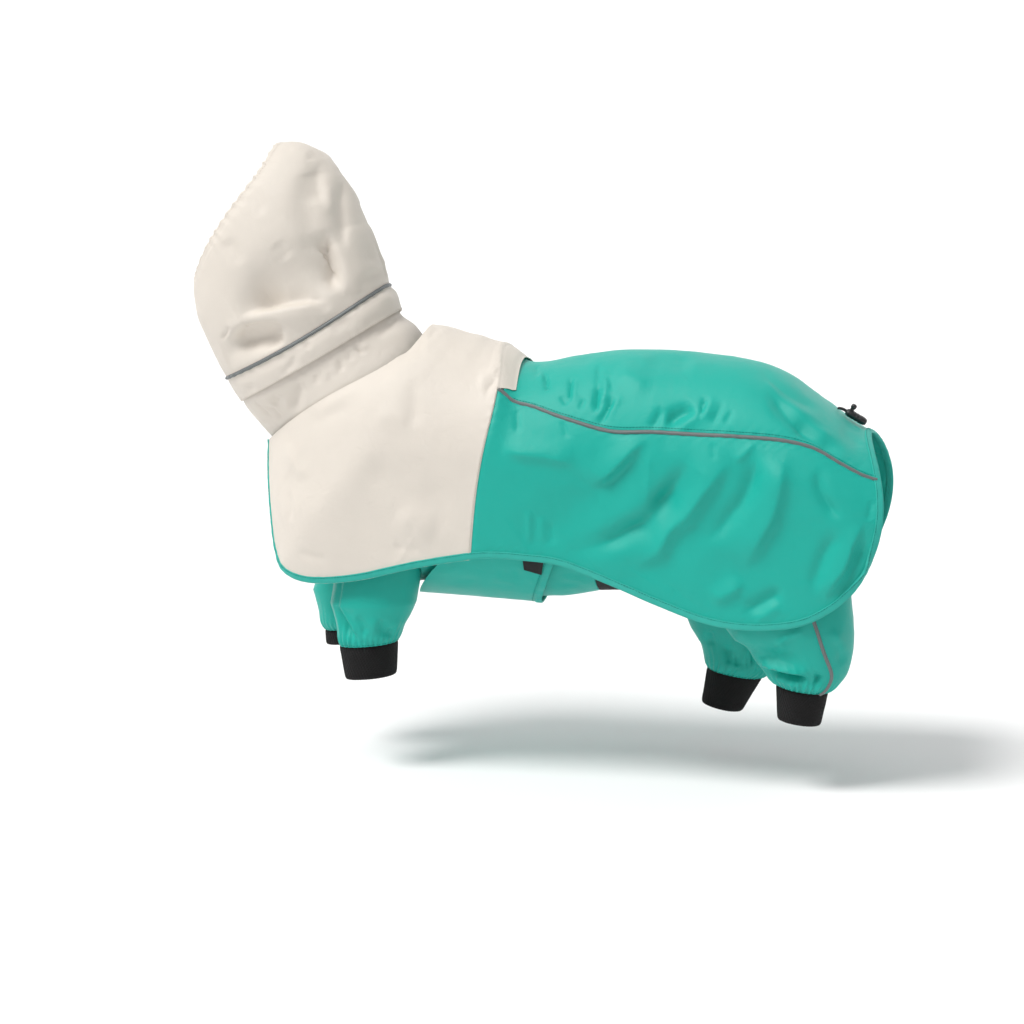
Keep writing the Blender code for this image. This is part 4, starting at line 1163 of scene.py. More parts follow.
CUTS = {
    "yoke": Cut(0.791, 0.389, 0.138, "draped"),
    "back_panel": Cut(0.285, 0.433, 0.105, "draped"),
    "side_panel": Cut(0.210, 0.460, 0.0776, "draped"),
    "hood": Cut(0.635, 0.218, 0.1004, "gathered"),
    "neck_upper": Cut(0.591, 0.031, 0.0170, "stretched"),
    "neck_lower": Cut(0.564, 0.058, 0.0301, "stretched"),
    "chest_panel": Cut(0.350, 0.297, 0.0684, "hung"),
    "belly_wrap": Cut(0.407, 0.130, 0.0358, "hung"),
    "belly_rear": Cut(0.342, 0.080, 0.0236, "hung"),
    "belly_elastic": Cut(0.327, 0.0213, 0.00690, "stretched"),
    "side_strap": Cut(0.029, 0.0475, 0.00113, "hung"),
    "front_leg_left": Cut(0.282, 0.112, 0.0215, "gathered"),
    "front_leg_right": Cut(0.274, 0.120, 0.0237, "gathered"),
    "hind_leg_left": Cut(0.374, 0.171, 0.0519, "gathered"),
    "hind_leg_right": Cut(0.396, 0.196, 0.0550, "gathered"),
    "front_leg_left_cuff": Cut(0.200, 0.038, 0.00700, "stretched"),
    "front_leg_right_cuff": Cut(0.196, 0.0181, 0.00352, "stretched"),
    "hind_leg_left_cuff": Cut(0.182, 0.038, 0.00623, "stretched"),
    "hind_leg_right_cuff": Cut(0.193, 0.045, 0.00720, "stretched"),
}


def surface_of(grid: Grid, ring: bool = False) -> BVHTree:
    """The faces of a grid, to measure other pieces against."""
    rows, columns = grid.shape[:2]
    faces = [
        (i * columns + j, i * columns + columns + j, i * columns + columns + k, i * columns + k)
        for i in range(rows - 1)
        for j, k in ((j, (j + 1) % columns) for j in range(columns if ring else columns - 1))
    ]
    return BVHTree.FromPolygons(grid.reshape(-1, 3).tolist(), faces)


def kept_inside(surface: BVHTree, grid: Grid, margin: float) -> Grid:
    """A grid, moved in where it is closer than the margin to a surface's inner face."""
    found = grid.copy()
    for index in np.ndindex(grid.shape[:2]):
        point = Vector(grid[index])
        near, out, _, _ = surface.find_nearest(point, 45.0)
        if near is not None:
            depth = (point - near).dot(out)
            if depth > -margin:
                found[index] = point - out * (depth + margin)
    return found


# ----------------------------------------------------------------------- pieces


@dataclass
class Cape:
    """Yoke with its back flap, back and side panels, side piping, hem binding and sewing."""

    seam_cells: int = 56
    side_cells: int = 106
    pitch: float = 2.35
    yoke_pitch: float = 3.4
    cloth: float = 0.8
    solid_cloth: float = 1.6
    yoke_end: float = 8.0
    flap_end: float = 9.0
    back_start: float = 8.35
    yoke_evenness: float = 0.7
    back_gain: float = 1.5
    side_gain: float = 1.55
    seam_sinks: float = 0.7
    yoke_seam_sinks: float = 1.0
    flap_lift_spine: float = 8.0
    flap_lift_side: float = 2.4
    flap_lift_power: float = 2.5
    flap_end_falls: float = 0.4
    flap_shorter: float = 0.62
    solid_cells: int = 4
    binding_width: float = 8.0
    tape: tuple = (
        (8.0, 1.0), (7.6, 1.42), (6.4, 1.55), (4.4, 1.66), (2.4, 1.6), (1.1, 1.35),
        (0.35, 0.9), (0.03, 0.35),
    )
    cord_half: tuple = ((0, 2.5), (0.75, 2.25), (1.45, 1.5), (1.9, 0.5), (2.3, 0.1))
    cord_foot: tuple = ((1.2, -0.5), (-1.2, -0.5))
    cord_pitch: float = 2.0
    hem_pitch: float = 2.8
    stitch_cells: int = 2
    grid: Grid = field(init=False)
    plain: Grid = field(init=False)
    out: Grid = field(init=False)
    places: np.ndarray = field(init=False)

    def __post_init__(self) -> None:
        """Makes the cape's whole surface, creases and all."""
        found = places_along(CAPE, self.yoke_pitch, 0, self.yoke_end)
        found += places_along(CAPE, self.pitch, self.yoke_end, self.back_start)[1:]
        found += places_along(CAPE, self.pitch, self.back_start, self.flap_end)[1:]
        found += places_along(CAPE, self.pitch, self.flap_end)[1:]
        self.places = np.array(found)
        grid = lofted(CAPE, found, self.seam_cells, self.side_cells)
        out = facing(grid)
        _, along = arcs(grid)
        ends = smooth_step(along, 0, 14) * smooth_step(along[-1] - along, 0, 14)
        self.plain = grid + out * (crease_height(grid, out, CAPE_FOLDS, True) * ends)[..., None]
        height = self.relief(self.plain, facing(self.plain))
        self.grid = self.plain + facing(self.plain) * height[..., None]
        self.out = facing(self.grid)

    @property
    def middle(self) -> int:
        """The spine's column."""
        return self.seam_cells + self.side_cells

    @property
    def seams(self) -> tuple[int, int]:
        """The piping seams' columns."""
        return self.middle - self.seam_cells, self.middle + self.seam_cells

    def row(self, place: float) -> int:
        """The row at a position along the cape's table."""
        return int(np.argmin(np.abs(self.places - place)))

    def relief(self, grid: Grid, out: Grid) -> np.ndarray:
        """The creases, puckers and unevenness of the cape's panels.

        Args:
            grid: the plain surface.
            out: its normals.

        Returns:
            A height for each point.
        """
        across, along = arcs(grid)
        left, right = self.seams
        mid_run = across - across[:, self.middle : self.middle + 1]
        seam_run = np.where(mid_run > 0, across[:, right : right + 1], across[:, left : left + 1])
        from_piping = across - seam_run
        inside = np.abs(mid_run) < np.abs(seam_run - across[:, self.middle : self.middle + 1])
        from_yoke = along - along[self.row(self.yoke_end)]
        panels = smooth_step(from_yoke, 0, 7)
        near = smooth_step(np.abs(from_piping), 1.5, 9)
        back = self.back_gain * crease_height(grid, out, BACK_CREASES) * inside * panels * near
        side = self.side_gain * crease_height(grid, out, SIDE_CREASES) * ~inside * panels * near
        yoke = crease_height(grid, out, YOKE_CREASES) * smooth_step(-from_yoke, 0, 7)
        edge = np.minimum(np.minimum(across, across[:, -1:] - across), along[-1] - along)
        free = smooth_step(edge, 4, 16)
        height = (back + side + yoke) * free
        soft = np.where(from_yoke > 0, 1.0, self.yoke_evenness)
        height += crumple(grid, height=0.75, size=64, seed=2.0) * soft * free
        # pleats drawn in by the piping, the binding, the yoke seam and the rear cord
        beside = np.abs(from_piping)
        piped = pucker(along, beside, pitch=13, reach=9, height=0.5, seed=4.0)
        from_tape = np.maximum(edge - self.binding_width, 0)
        taped = pucker(along, from_tape, pitch=11, reach=8, height=0.42, seed=6.0)
        joined = pucker(across, np.abs(from_yoke), pitch=12, reach=6, height=0.35, seed=8.0)
        drawn = pucker(across, along[-1] - along, pitch=12, reach=16, height=0.7, seed=10.0)
        height += piped * panels * smooth_step(beside, 0, 2)
        height += taped * smooth_step(edge, 6, 9)
        height += joined * (np.abs(from_yoke) > 1)
        height += drawn * inside * free
        # the sewn lines sink
        height -= self.seam_sinks * np.exp(-((from_piping / 2.6) ** 2)) * panels
        lower = ~inside & (from_yoke > -0.5)
        height -= self.yoke_seam_sinks * np.exp(-((from_yoke / 2.2) ** 2)) * lower
        return height

    def hem(self, grid: Grid) -> tuple[np.ndarray, np.ndarray, np.ndarray]:
        """The cape's free edge, left throat to right throat.

        Args:
            grid: the surface to read it from.

        Returns:
            Its points, the surface's normals there, and unit directions into the cloth.
        """
        out = facing(grid)
        parts = [(slice(0, -1), 0), (-1, slice(0, -1)), (slice(None, None, -1), -1)]
        path = np.concatenate([grid[p].reshape(-1, 3) for p in parts])
        up = np.concatenate([out[p].reshape(-1, 3) for p in parts])
        path, up = resampled(path, self.hem_pitch, up)
        path = smoothed(path, 3)
        up = unit(smoothed(up, 12))
        into = unit(np.cross(up, np.gradient(path, axis=0)))
        return path, up, unit(smoothed(into, 8))

    def yoke(self) -> bpy.types.Object:
        """The cream yoke, whose flap runs on over the back panel."""
        last = self.row(self.flap_end)
        yoke_row = self.row(self.yoke_end)
        left, right = self.seams
        grid, out = self.grid[: last + 1].copy(), self.out[: last + 1]
        columns = np.arange(left, right + 1)
        cell = self.seam_cells / self.solid_cells
        for i in range(yoke_row + 1, last + 1):
            share = self.places[i] - self.yoke_end
            in_by = self.flap_shorter * cell * share
            apart = np.abs(columns - self.middle)
            shift = np.clip(1 - (self.seam_cells - apart) / cell, 0, 1) * in_by
            read = columns - np.sign(columns - self.middle) * shift
            drop = (1 - apart / self.seam_cells) ** self.flap_lift_power
            lift = self.flap_lift_side + (self.flap_lift_spine - self.flap_lift_side) * drop
            lift = lift * (1 - self.flap_end_falls * smooth_step(share, 0.55, 1))
            plain = self.plain[i]
            line = np.stack([np.interp(read, np.arange(len(plain)), plain[:, k]) for k in range(3)], 1)
            wave = 0.35 * np.sin(columns / 7.0) * share
            grid[i, columns] = line + out[i, columns] * (lift * share + wave)[:, None]
        raised = np.exp(-((np.maximum(0, arcs(self.grid)[1][yoke_row] - arcs(grid)[1])) / 5.0) ** 2)
        raised[yoke_row + 1 :] = 0
        grid = grid + facing(grid) * (0.45 * raised)[..., None]
        keep = np.ones((last, grid.shape[1] - 1), bool)
        keep[yoke_row:] = False
        keep[yoke_row:, left:right] = True
        return shell("yoke_cloth", grid, self.cloth, keep=keep)

    def binding(self) -> bpy.types.Object:
        """The tape folded over the free edge."""
        path, up, into = self.hem(self.grid)
        run = np.arange(len(path)) * self.hem_pitch
        wave = 0.16 * np.sin(run / 2.1 + 2.5 * line_noise(run, 14, 3.0))
        soft = 0.5 * line_noise(run, 9, 5.0)
        shape = np.repeat(folded(self.tape)[None], len(path), 0)
        shape[..., 1] *= (1 + wave)[:, None]
        shape[..., 0] += (soft * 0.5)[:, None] * (shape[..., 0] > 4)
        centre = path - up * (self.cloth / 2)
        loops = centre[:, None] + into[:, None] * shape[..., :1] + up[:, None] * shape[..., 1:]
        return tube_of("hem_tape", loops)

    def piping(self, column: int, name: str) -> bpy.types.Object:
        """The reflective cord along a side seam, with its flange."""
        rows = slice(self.row(self.yoke_end) + 1, len(self.grid) - 3)
        path, up = resampled(self.grid[rows, column], self.cord_pitch, self.out[rows, column])
        shape = cord_profile(self.cord_half, self.cord_foot)
        run = np.arange(len(path)) * self.cord_pitch
        size = 1 + 0.05 * line_noise(run, 8, 2.0)
        return swept(name, path, unit(up), shape[None] * size[:, None, None])

    def build(self) -> BVHTree:
        """Makes every piece of the cape.

        Returns:
            The inner face of its solids, for what lies inside.
        """
        cream, teal = Finishes.CREAM, Finishes.TEAL
        yoke = cream.on(self.yoke(), "yoke")
        left, right = self.seams
        back_rows = slice(self.row(self.back_start), None)
        rows = slice(self.row(self.yoke_end), None)
        back = teal.on(
            shell("back_cloth", self.grid[back_rows, left : right + 1], self.cloth), "back_panel"
        )
        sides = []
        for name, columns in (("left", slice(0, left + 1)), ("right", slice(right, None))):
            panel = shell(f"side_cloth_{name}", self.grid[rows, columns], self.cloth)
            sides.append(teal.on(panel, f"side_panel_{name}"))
        binding = Finishes.BINDING.on(self.binding(), "hem_binding")
        pipings = [
            Finishes.PIPING.on(self.piping(column, f"side_cord_{name}"), f"side_piping_{name}")
            for name, column in (("left", left), ("right", right))
        ]
        threads = self.sewing()
        CUTS["yoke"].declare(yoke, threads[0])
        CUTS["back_panel"].declare(back, binding, threads[1])
        for panel, piping in zip(sides, pipings):
            CUTS["side_panel"].declare(panel, piping)
        LOG.info("binding runs %.0f mm", len(self.hem(self.grid)[0]) * self.hem_pitch)
        return surface_of(self.plain - facing(self.plain) * self.solid_cloth)

    def sewing(self) -> list[bpy.types.Object]:
        """The sewn lines of the cape."""
        left, right = self.seams
        yoke_row = self.row(self.yoke_end)
        path, up, into = self.hem(self.grid)
        sewn = Stitches()
        # the teal thread's painted shade makes this line inside the binding read as a dark shadow line
        inner = path + into * (self.binding_width - 1.3) + up * 1.05
        teal_lines = [(inner[6:-6], up[6:-6])]
        rows = slice(self.row(self.flap_end), len(self.grid) - 4)
        for column in (left + self.stitch_cells, right - self.stitch_cells):
            teal_lines.append((self.grid[rows, column], self.out[rows, column]))
        cream_lines = []
        for columns in (slice(4, left + 1), slice(right, -4)):
            line = self.grid[yoke_row - 1, columns] + self.out[yoke_row - 1, columns] * 0.42
            cream_lines.append((line, self.out[yoke_row - 1, columns]))
        return [
            Finishes.CREAM_THREAD.on(sewn.sewn("yoke_thread", cream_lines)),
            Finishes.TEAL_THREAD_AND_SHADE.on(sewn.sewn("cape_thread", teal_lines)),
        ]


@dataclass
class Hood:
    """Gathered hood, its piping and the two neck bands."""

    cells: tuple = (36, 100)
    pitch: float = 2.3
    cloth: float = 0.8
    crease_gain: float = 1.3
    hem_line: float = 9.0
    cord_half: tuple = ((0, 2.4), (0.8, 2.1), (1.6, 1.2), (2.2, 0.0))
    cord_foot: tuple = ((1.0, -0.6), (-1.0, -0.6))

    def crown(self) -> Grid:
        """The hood's surface, face edge first."""
        grid = lofted(HOOD, places_along(HOOD, self.pitch), *self.cells, ring=True)
        out = facing(grid, True)
        _, along = arcs(grid)
        rest = along[-1] - along
        ends = smooth_step(along, 0, 12) * smooth_step(rest, 0, 12)
        grid = grid + out * (crease_height(grid, out, HOOD_FOLDS, True) * ends)[..., None]
        out = facing(grid, True)
        round_ = ring_run(grid)
        free = smooth_step(along, 8, 26) * smooth_step(rest, 2, 12)
        height = self.crease_gain * crease_height(grid, out, HOOD_CREASES) * free
        height += crumple(grid, height=0.55, size=58, seed=12.0) * smooth_step(rest, 0, 12)
        top = 0.55 + 0.75 * smooth_step(grid[..., 2], 60, 190)
        height += pucker(round_[:1], along, pitch=12, reach=17, height=1.4, seed=14.0) * top
        height += pucker(round_[:1], along, pitch=7.3, reach=8, height=0.7, seed=15.0) * top
        height += pucker(round_[-1:], rest, pitch=15, reach=9, height=0.45, seed=16.0)
        height -= 0.5 * np.exp(-(((along - self.hem_line) / 1.6) ** 2))
        return grid + out * height[..., None]

    def band(self, table: np.ndarray, marks: Sequence[Crease], seed: float, size: float) -> Grid:
        """A neck band's surface.

        Args:
            table: its sections.
            marks: its creases.
            seed: a number for its unevenness.
            size: the height of its pleats.

        Returns:
            The grid.
        """
        grid = lofted(table, places_along(table, self.pitch), *self.cells, ring=True)
        out = facing(grid, True)
        _, along = arcs(grid)
        rest = along[-1] - along
        free = smooth_step(along, 1, 8) * smooth_step(rest, 1, 8)
        rumpled = crumple(grid, height=0.8, size=44, seed=seed)
        height = (crease_height(grid, out, marks) + rumpled) * free
        round_ = ring_run(grid)
        height += pucker(round_[:1], along, pitch=14, reach=10, height=size, seed=seed + 1)
        height += pucker(round_[-1:], rest, pitch=13, reach=9, height=size * 0.8, seed=seed + 2)
        return grid + out * height[..., None]

    def build(self) -> None:
        """Makes the hood, its piping and the neck bands."""
        cream = Finishes.CREAM
        crown = self.crown()
        out = facing(crown, True)
        hood = cream.on(shell("hood_cloth", crown, self.cloth, ring=True), "hood")
        lap = NECK_UPPER.copy()
        lap[0, [REAR_Z, FRONT_Z]] -= 0.3
        upper_grid = self.band(lap, UPPER_NECK_CREASES, 21.0, 0.45)
        lower_grid = self.band(NECK_LOWER, LOWER_NECK_CREASES, 27.0, 0.75)
        upper = cream.on(shell("neck_upper_cloth", upper_grid, self.cloth, ring=True), "neck_upper")
        lower = cream.on(shell("neck_lower_cloth", lower_grid, self.cloth, ring=True), "neck_lower")
        path, up = crown[-1], unit(out[-1])
        shape = cord_profile(self.cord_half, self.cord_foot)
        piping = Finishes.PIPING.on(swept("hood_cord", path, up, shape, ring=True), "hood_piping")
        band_out = facing(upper_grid, True)
        lines = [(crown[3], out[3]), (crown[-3], out[-3]), (upper_grid[-2], band_out[-2])]
        thread = Finishes.CREAM_THREAD.on(Stitches().sewn("hood_thread", lines))
        CUTS["hood"].declare(hood, piping, thread)
        CUTS["neck_upper"].declare(upper)
        CUTS["neck_lower"].declare(lower)


@dataclass
class UnderSuit:
    """Chest, belly wrap, rear belly, elastic and side straps."""

    cape_inside: BVHTree
    half_cells: int = 52
    pitch: float = 4.0
    cloth: float = 0.8
    layer_gap: float = 4.0
    tape: tuple = ((0.0, 1.0), (0.5, 1.4), (3.4, 1.6), (6.4, 1.5), (7.6, 1.0), (8.0, 0.35))

    def trough(self, table: np.ndarray, marks: Sequence[Crease], seed: float, size: float) -> Grid:
        """A U-shaped panel inside the cape.

        Args:
            table: its sections.
            marks: its creases.
            seed: a number for its unevenness.
            size: the height of its unevenness.

        Returns:
            The grid.
        """
        half = self.half_cells // 2
        grid = lofted(table, places_along(table, self.pitch), half, half)[:, ::-1]
        grid = kept_inside(self.cape_inside, grid, self.layer_gap)
        out = facing(grid)
        across, along = arcs(grid)
        edge = np.minimum(across, across[:, -1:] - across)
        free = smooth_step(edge, 0, 14)
        height = crease_height(grid, out, marks) + crumple(grid, height=size, size=42, seed=seed)
        rest = along[-1] - along
        height += pucker(across, rest, pitch=11, reach=8, height=0.45, seed=seed + 1)
        height += pucker(across, along, pitch=12, reach=8, height=0.35, seed=seed + 2)
        return grid + out * (height * free)[..., None]

    def wrap_tape(self, grid: Grid) -> bpy.types.Object:
        """The tape on the wrap's rear edge."""
        out = facing(grid)
        edge, before, up = grid[-1], grid[-3], out[-1]
        edge, up, before = resampled(edge, 2.4, up, before)
        edge, up, before = edge[2:-2], unit(up[2:-2]), before[2:-2]
        back = unit(edge - before)
        shape = folded(self.tape)
        centre = edge - up * (self.cloth / 2)
        loops = centre[:, None] + back[:, None] * shape[None, :, :1] + up[:, None] * shape[None, :, 1:]
        return tube_of("wrap_tape", loops)

    def strap(self, side: int, surface: BVHTree) -> bpy.types.Object:
        """A strap that hangs from under the hem and lies on the wrap."""
        front = np.linspace((69, side * 200, -206), (69.5, side * 200, -242), 19)
        rear = np.linspace((98, side * 200, -206), (88, side * 200, -247.5), 19)
        rows = []
        for a, b in zip(front, rear):
            line = []
            for share in np.linspace(0, 1, 13):
                start = Vector(a).lerp(Vector(b), share)
                hit = surface.ray_cast(start, Vector((0, -side, 0)))[0]
                line.append(np.array(hit) + np.array((0, side * 2.6, 0)))
            rows.append(line)
        grid = smoothed(np.array(rows), 2)
        if facing(grid)[0, 0, 1] * side < 0:
            grid = grid[:, ::-1]
        return shell(f"side_strap_{'left' if side < 0 else 'right'}", grid, 1.6)

    def build(self) -> Grid:
        """Makes the under-suit's body pieces, all but the chest panel's cloth.

        Returns:
            The chest panel's grid.
        """
        teal = Finishes.TEAL
        chest = self.trough(CHEST_PANEL, (), 33.0, 0.8)
        wrap = self.trough(BELLY_WRAP, WRAP_CREASES, 35.0, 0.9)
        rear = self.trough(BELLY_REAR, BELLY_REAR_CREASES, 37.0, 1.0)
        elastic = self.trough(BELLY_ELASTIC, (), 39.0, 0.3)
        wrap_piece = teal.on(shell("wrap_cloth", wrap, self.cloth), "belly_wrap")
        rear_piece = teal.on(shell("rear_belly_cloth", rear, self.cloth), "belly_rear")
        band = Finishes.WEBBING.on(shell("belly_elastic_band", elastic, 1.6), "belly_elastic")
        tape = Finishes.BINDING.on(self.wrap_tape(wrap), "belly_wrap_binding")
        out = facing(wrap)
        line = (wrap[-2] + out[-2] * 0.1, out[-2])
        thread = Finishes.TEAL_THREAD_AND_SHADE.on(Stitches().sewn("wrap_thread", [line]))
        surface = surface_of(wrap)
        for side, name in ((-1, "left"), (1, "right")):
            strap = Finishes.WEBBING.on(self.strap(side, surface), f"side_tab_{name}")
            CUTS["side_strap"].declare(strap)
        CUTS["belly_wrap"].declare(wrap_piece, tape, thread)
        CUTS["belly_rear"].declare(rear_piece)
        CUTS["belly_elastic"].declare(band)
        return chest


@dataclass
class Leg:
    """A gathered leg and its knit cuff."""

    name: str
    side: int
    stance: float
    rows: np.ndarray
    cuff_rows: np.ndarray
    marks: Sequence[Crease]
    cells: tuple = (34, 88)
    pitch: float = 2.9
    cloth: float = 0.8
    knit: float = 2.0
    rib_pitch: float = 3.4
    crease_gain: float = 1.6
    fullness: float = 1.3

    def surface(self, limit: Optional[BVHTree]) -> Grid:
        """The leg's outer surface, top to cuff.

        Args:
            limit: the cape's inner face, where the leg goes up under it.

        Returns:
            The grid.
        """
        middle = self.side * self.stance
        grid = lofted(
            self.rows, places_along(self.rows, self.pitch), *self.cells, ring=True, middle=middle
        )
        out = facing(grid, True)
        _, along = arcs(grid)
        rest = along[-1] - along
        ends = smooth_step(along, 0, 8) * smooth_step(rest, 0, 8)
        grid = grid + out * (crease_height(grid, out, LEG_FOLDS, True) * ends)[..., None]
        if limit is not None:
            grid = kept_inside(limit, grid, 4.0)
        out = facing(grid, True)
        free = smooth_step(rest, 1, 8)
        marks = crease_height(grid, out, self.marks, middle=middle, fade=0.75)
        height = self.crease_gain * marks * free
        height += crumple(grid, height=0.9, size=34, seed=41.0 + self.stance + self.side) * ends
        round_ = ring_run(grid)
        seed = 43.0 + self.side + self.stance / 10
        # the gathers hang full just above the cuff and are drawn in at its seam
        full = self.fullness * np.exp(-(((rest - 9) / 8) ** 2)) * smooth_step(rest, 0, 6)
        held = 0.4 + 0.6 * smooth_step(rest, 0, 4)
        from_seam = np.abs(rest - 3)
        broad = pucker(round_[-1:], from_seam, pitch=6.3, reach=13, height=1.5, seed=seed)
        fine = pucker(round_[-1:], rest, pitch=4.3, reach=7, height=0.8, seed=seed + 2)
        height += full + held * (broad + fine)
        return grid + out * height[..., None]

    def cuff(self) -> bpy.types.Object:
        """The knit cuff, open at both ends."""
        middle = self.side * self.stance
        places = np.linspace(0, 1, 16)
        grid = lofted(self.cuff_rows, places, 26, 76, ring=True, middle=middle)
        out = facing(grid, True)
        _, along = arcs(grid)
        round_ = ring_run(grid)
        end = np.minimum(along, along[-1] - along)
        ribs = 0.28 * np.sin(round_ * 2 * math.pi / self.rib_pitch)
        height = ribs - 0.9 * np.exp(-((end / 1.3) ** 2))
        height += crumple(grid, height=0.5, size=26, seed=51.0 + self.stance)
        return shell(f"{self.name}_knit", grid + out * height[..., None], self.knit, ring=True)

    def dress(self, grid: Grid, node: str, cuff_node: str) -> bpy.types.Object:
        """Makes the leg's cloth, cuff and sewing."""
        cloth = Finishes.TEAL.on(shell(f"{self.name}_cloth", grid, self.cloth, ring=True), node)
        out = facing(grid, True)
        thread = Stitches().sewn(f"{self.name}_thread", [(grid[-2], out[-2])])
        thread = Finishes.TEAL_THREAD_AND_SHADE.on(thread)
        cuff = Finishes.KNIT.on(self.cuff(), cuff_node)
        CUTS[self.name].declare(cloth, thread)
        CUTS[f"{self.name}_cuff"].declare(cuff)
        return cloth


@dataclass
class FrontLeg(Leg):
    """A front leg, whose top meets the chest panel at the armhole."""

    back: float = 0.15
    inward: float = 0.12

    def build(self, chest: Grid) -> np.ndarray:
        """Makes the leg.

        Args:
            chest: the chest panel's grid.

        Returns:
            The loop where its inside meets the chest, which is the armhole.
        """
        surface = surface_of(chest)
        grid = self.surface(None)
        rise = Vector((self.back, -self.side * self.inward, 1)).normalized()
        tops = []
        for point in grid[0]:
            hit = surface.ray_cast(Vector(point), rise)[0]
            tops.append(np.array(hit if hit is not None else Vector(point) + rise * 30))
        tops = np.array(tops) - np.array(rise) * 0.6
        steps = [tops + (grid[0] - tops) * share for share in np.linspace(0, 1, 12)[:-1]]
        grid = np.concatenate([np.array(steps), grid])
        self.dress(grid, self.name, self.name.replace("leg", "cuff"))
        return tops


@dataclass
class HindLeg(Leg):
    """A trouser leg with its piped outer seam."""

    cord: tuple = (
        (-2.0, 0.0), (-1.4, 1.2), (-0.6, 2.0), (0.6, 2.0), (1.4, 1.2), (2.0, 0.0), (0, -0.5),
    )

    def build(self, cape_inside: BVHTree) -> None:
        """Makes the leg.

        Args:
            cape_inside: the inner face of the cape.
        """
        grid = self.surface(cape_inside)
        self.dress(grid, self.name, self.name.replace("leg", "cuff"))
        column = self.cells[0] if self.side > 0 else grid.shape[1] - self.cells[0]
        start = len(grid) // 3
        path, up = resampled(grid[start:, column], 1.6, facing(grid, True)[start:, column])
        piece = swept(f"{self.name}_cord", path, unit(up), np.array(self.cord))
        Finishes.PIPING.on(piece, f"leg_piping_{'left' if self.side < 0 else 'right'}")


@dataclass
class CordLock:
    """The drawcord's barrel lock on the rump, its push button and its cord."""

    front: tuple = (404.5, 0.0, -73.8)
    rear: tuple = (426.5, 0.0, -86.3)
    half_width: float = 6.5
    half_height: float = 4.4
    button_radius: float = 3.1
    button_height: float = 6.5
    button_back: float = 5.0
    button_sunk: float = 0.3
    cord_radius: float = 1.6
    # places along the barrel and the button, each with its share of the full size
    swell: tuple = (
        (0, 0.42), (0.015, 0.55), (0.05, 0.78), (0.1, 0.9), (0.17, 0.97), (0.25, 1.0), (0.4, 1.0),
        (0.43, 0.93), (0.47, 0.93), (0.5, 1.0), (0.56, 1.0), (0.59, 0.93), (0.63, 0.93),
        (0.66, 1.0), (0.78, 0.99), (0.88, 0.92), (0.95, 0.78), (0.985, 0.6), (1.0, 0.42),
    )
    dome: tuple = (
        (0.0, 0.72), (0.3, 0.74), (0.36, 0.95), (0.45, 1.0), (0.7, 1.0), (0.82, 0.93),
        (0.92, 0.76), (0.98, 0.5), (1.0, 0.22),
    )

    def oval(
        self,
        centre: np.ndarray,
        one: np.ndarray,
        one_half: float,
        other: np.ndarray,
        other_half: float,
        sides: int = 28,
    ) -> np.ndarray:
        """A loop of points round a centre, with a half size along each of two directions."""
        turn = np.arange(sides) * 2 * math.pi / sides
        return centre + np.outer(np.cos(turn) * one_half, one) + np.outer(
            np.sin(turn) * other_half, other
        )

    def turned(
        self,
        start: np.ndarray,
        reach: np.ndarray,
        one: np.ndarray,
        one_half: float,
        other: np.ndarray,
        other_half: float,
        shares: Sequence[tuple],
    ) -> np.ndarray:
        """Ovals along a line, each at its place and at its share of the full size."""
        loops = [
            self.oval(start + reach * place, one, one_half * share, other, other_half * share)
            for place, share in shares
        ]
        return np.array(loops)

    def build(self, cape_surface: BVHTree) -> None:
        """Makes the lock, its button and the cord."""
        front, rear = np.array(self.front), np.array(self.rear)
        axis = unit(rear - front)
        up = np.array([-axis[2], 0, axis[0]])
        across = np.array([0.0, 1.0, 0.0])
        barrel = self.turned(
            front, rear - front, across, self.half_width, up, self.half_height, self.swell
        )
        Finishes.PLASTIC.on(tube_of("barrel_lock", barrel), "cord_lock")
        foot = front + axis * self.button_back + up * (self.half_height - self.button_sunk)
        rise = up * (self.button_height + 2 * self.button_sunk)
        radius = self.button_radius
        button = self.turned(foot, rise, axis, radius, across, radius, self.dome)
        Finishes.PLASTIC.on(tube_of("lock_button", button), "cord_lock_button")
        root = Vector(front - axis * 9.0)
        near, out, _, _ = cape_surface.find_nearest(root)
        root = np.array(near + out * 2.2)
        end = front + axis * 1.0
        loops = []
        for share in np.linspace(0, 1, 14):
            point = root + (end - root) * share + up * (4 * share * (1 - share))
            loops.append(self.oval(point, across, self.cord_radius, up, self.cord_radius, 16))
        Finishes.CORD.on(tube_of("draw_cord", np.array(loops)), "drawcord")


# ------------------------------------------------------------------------ studio


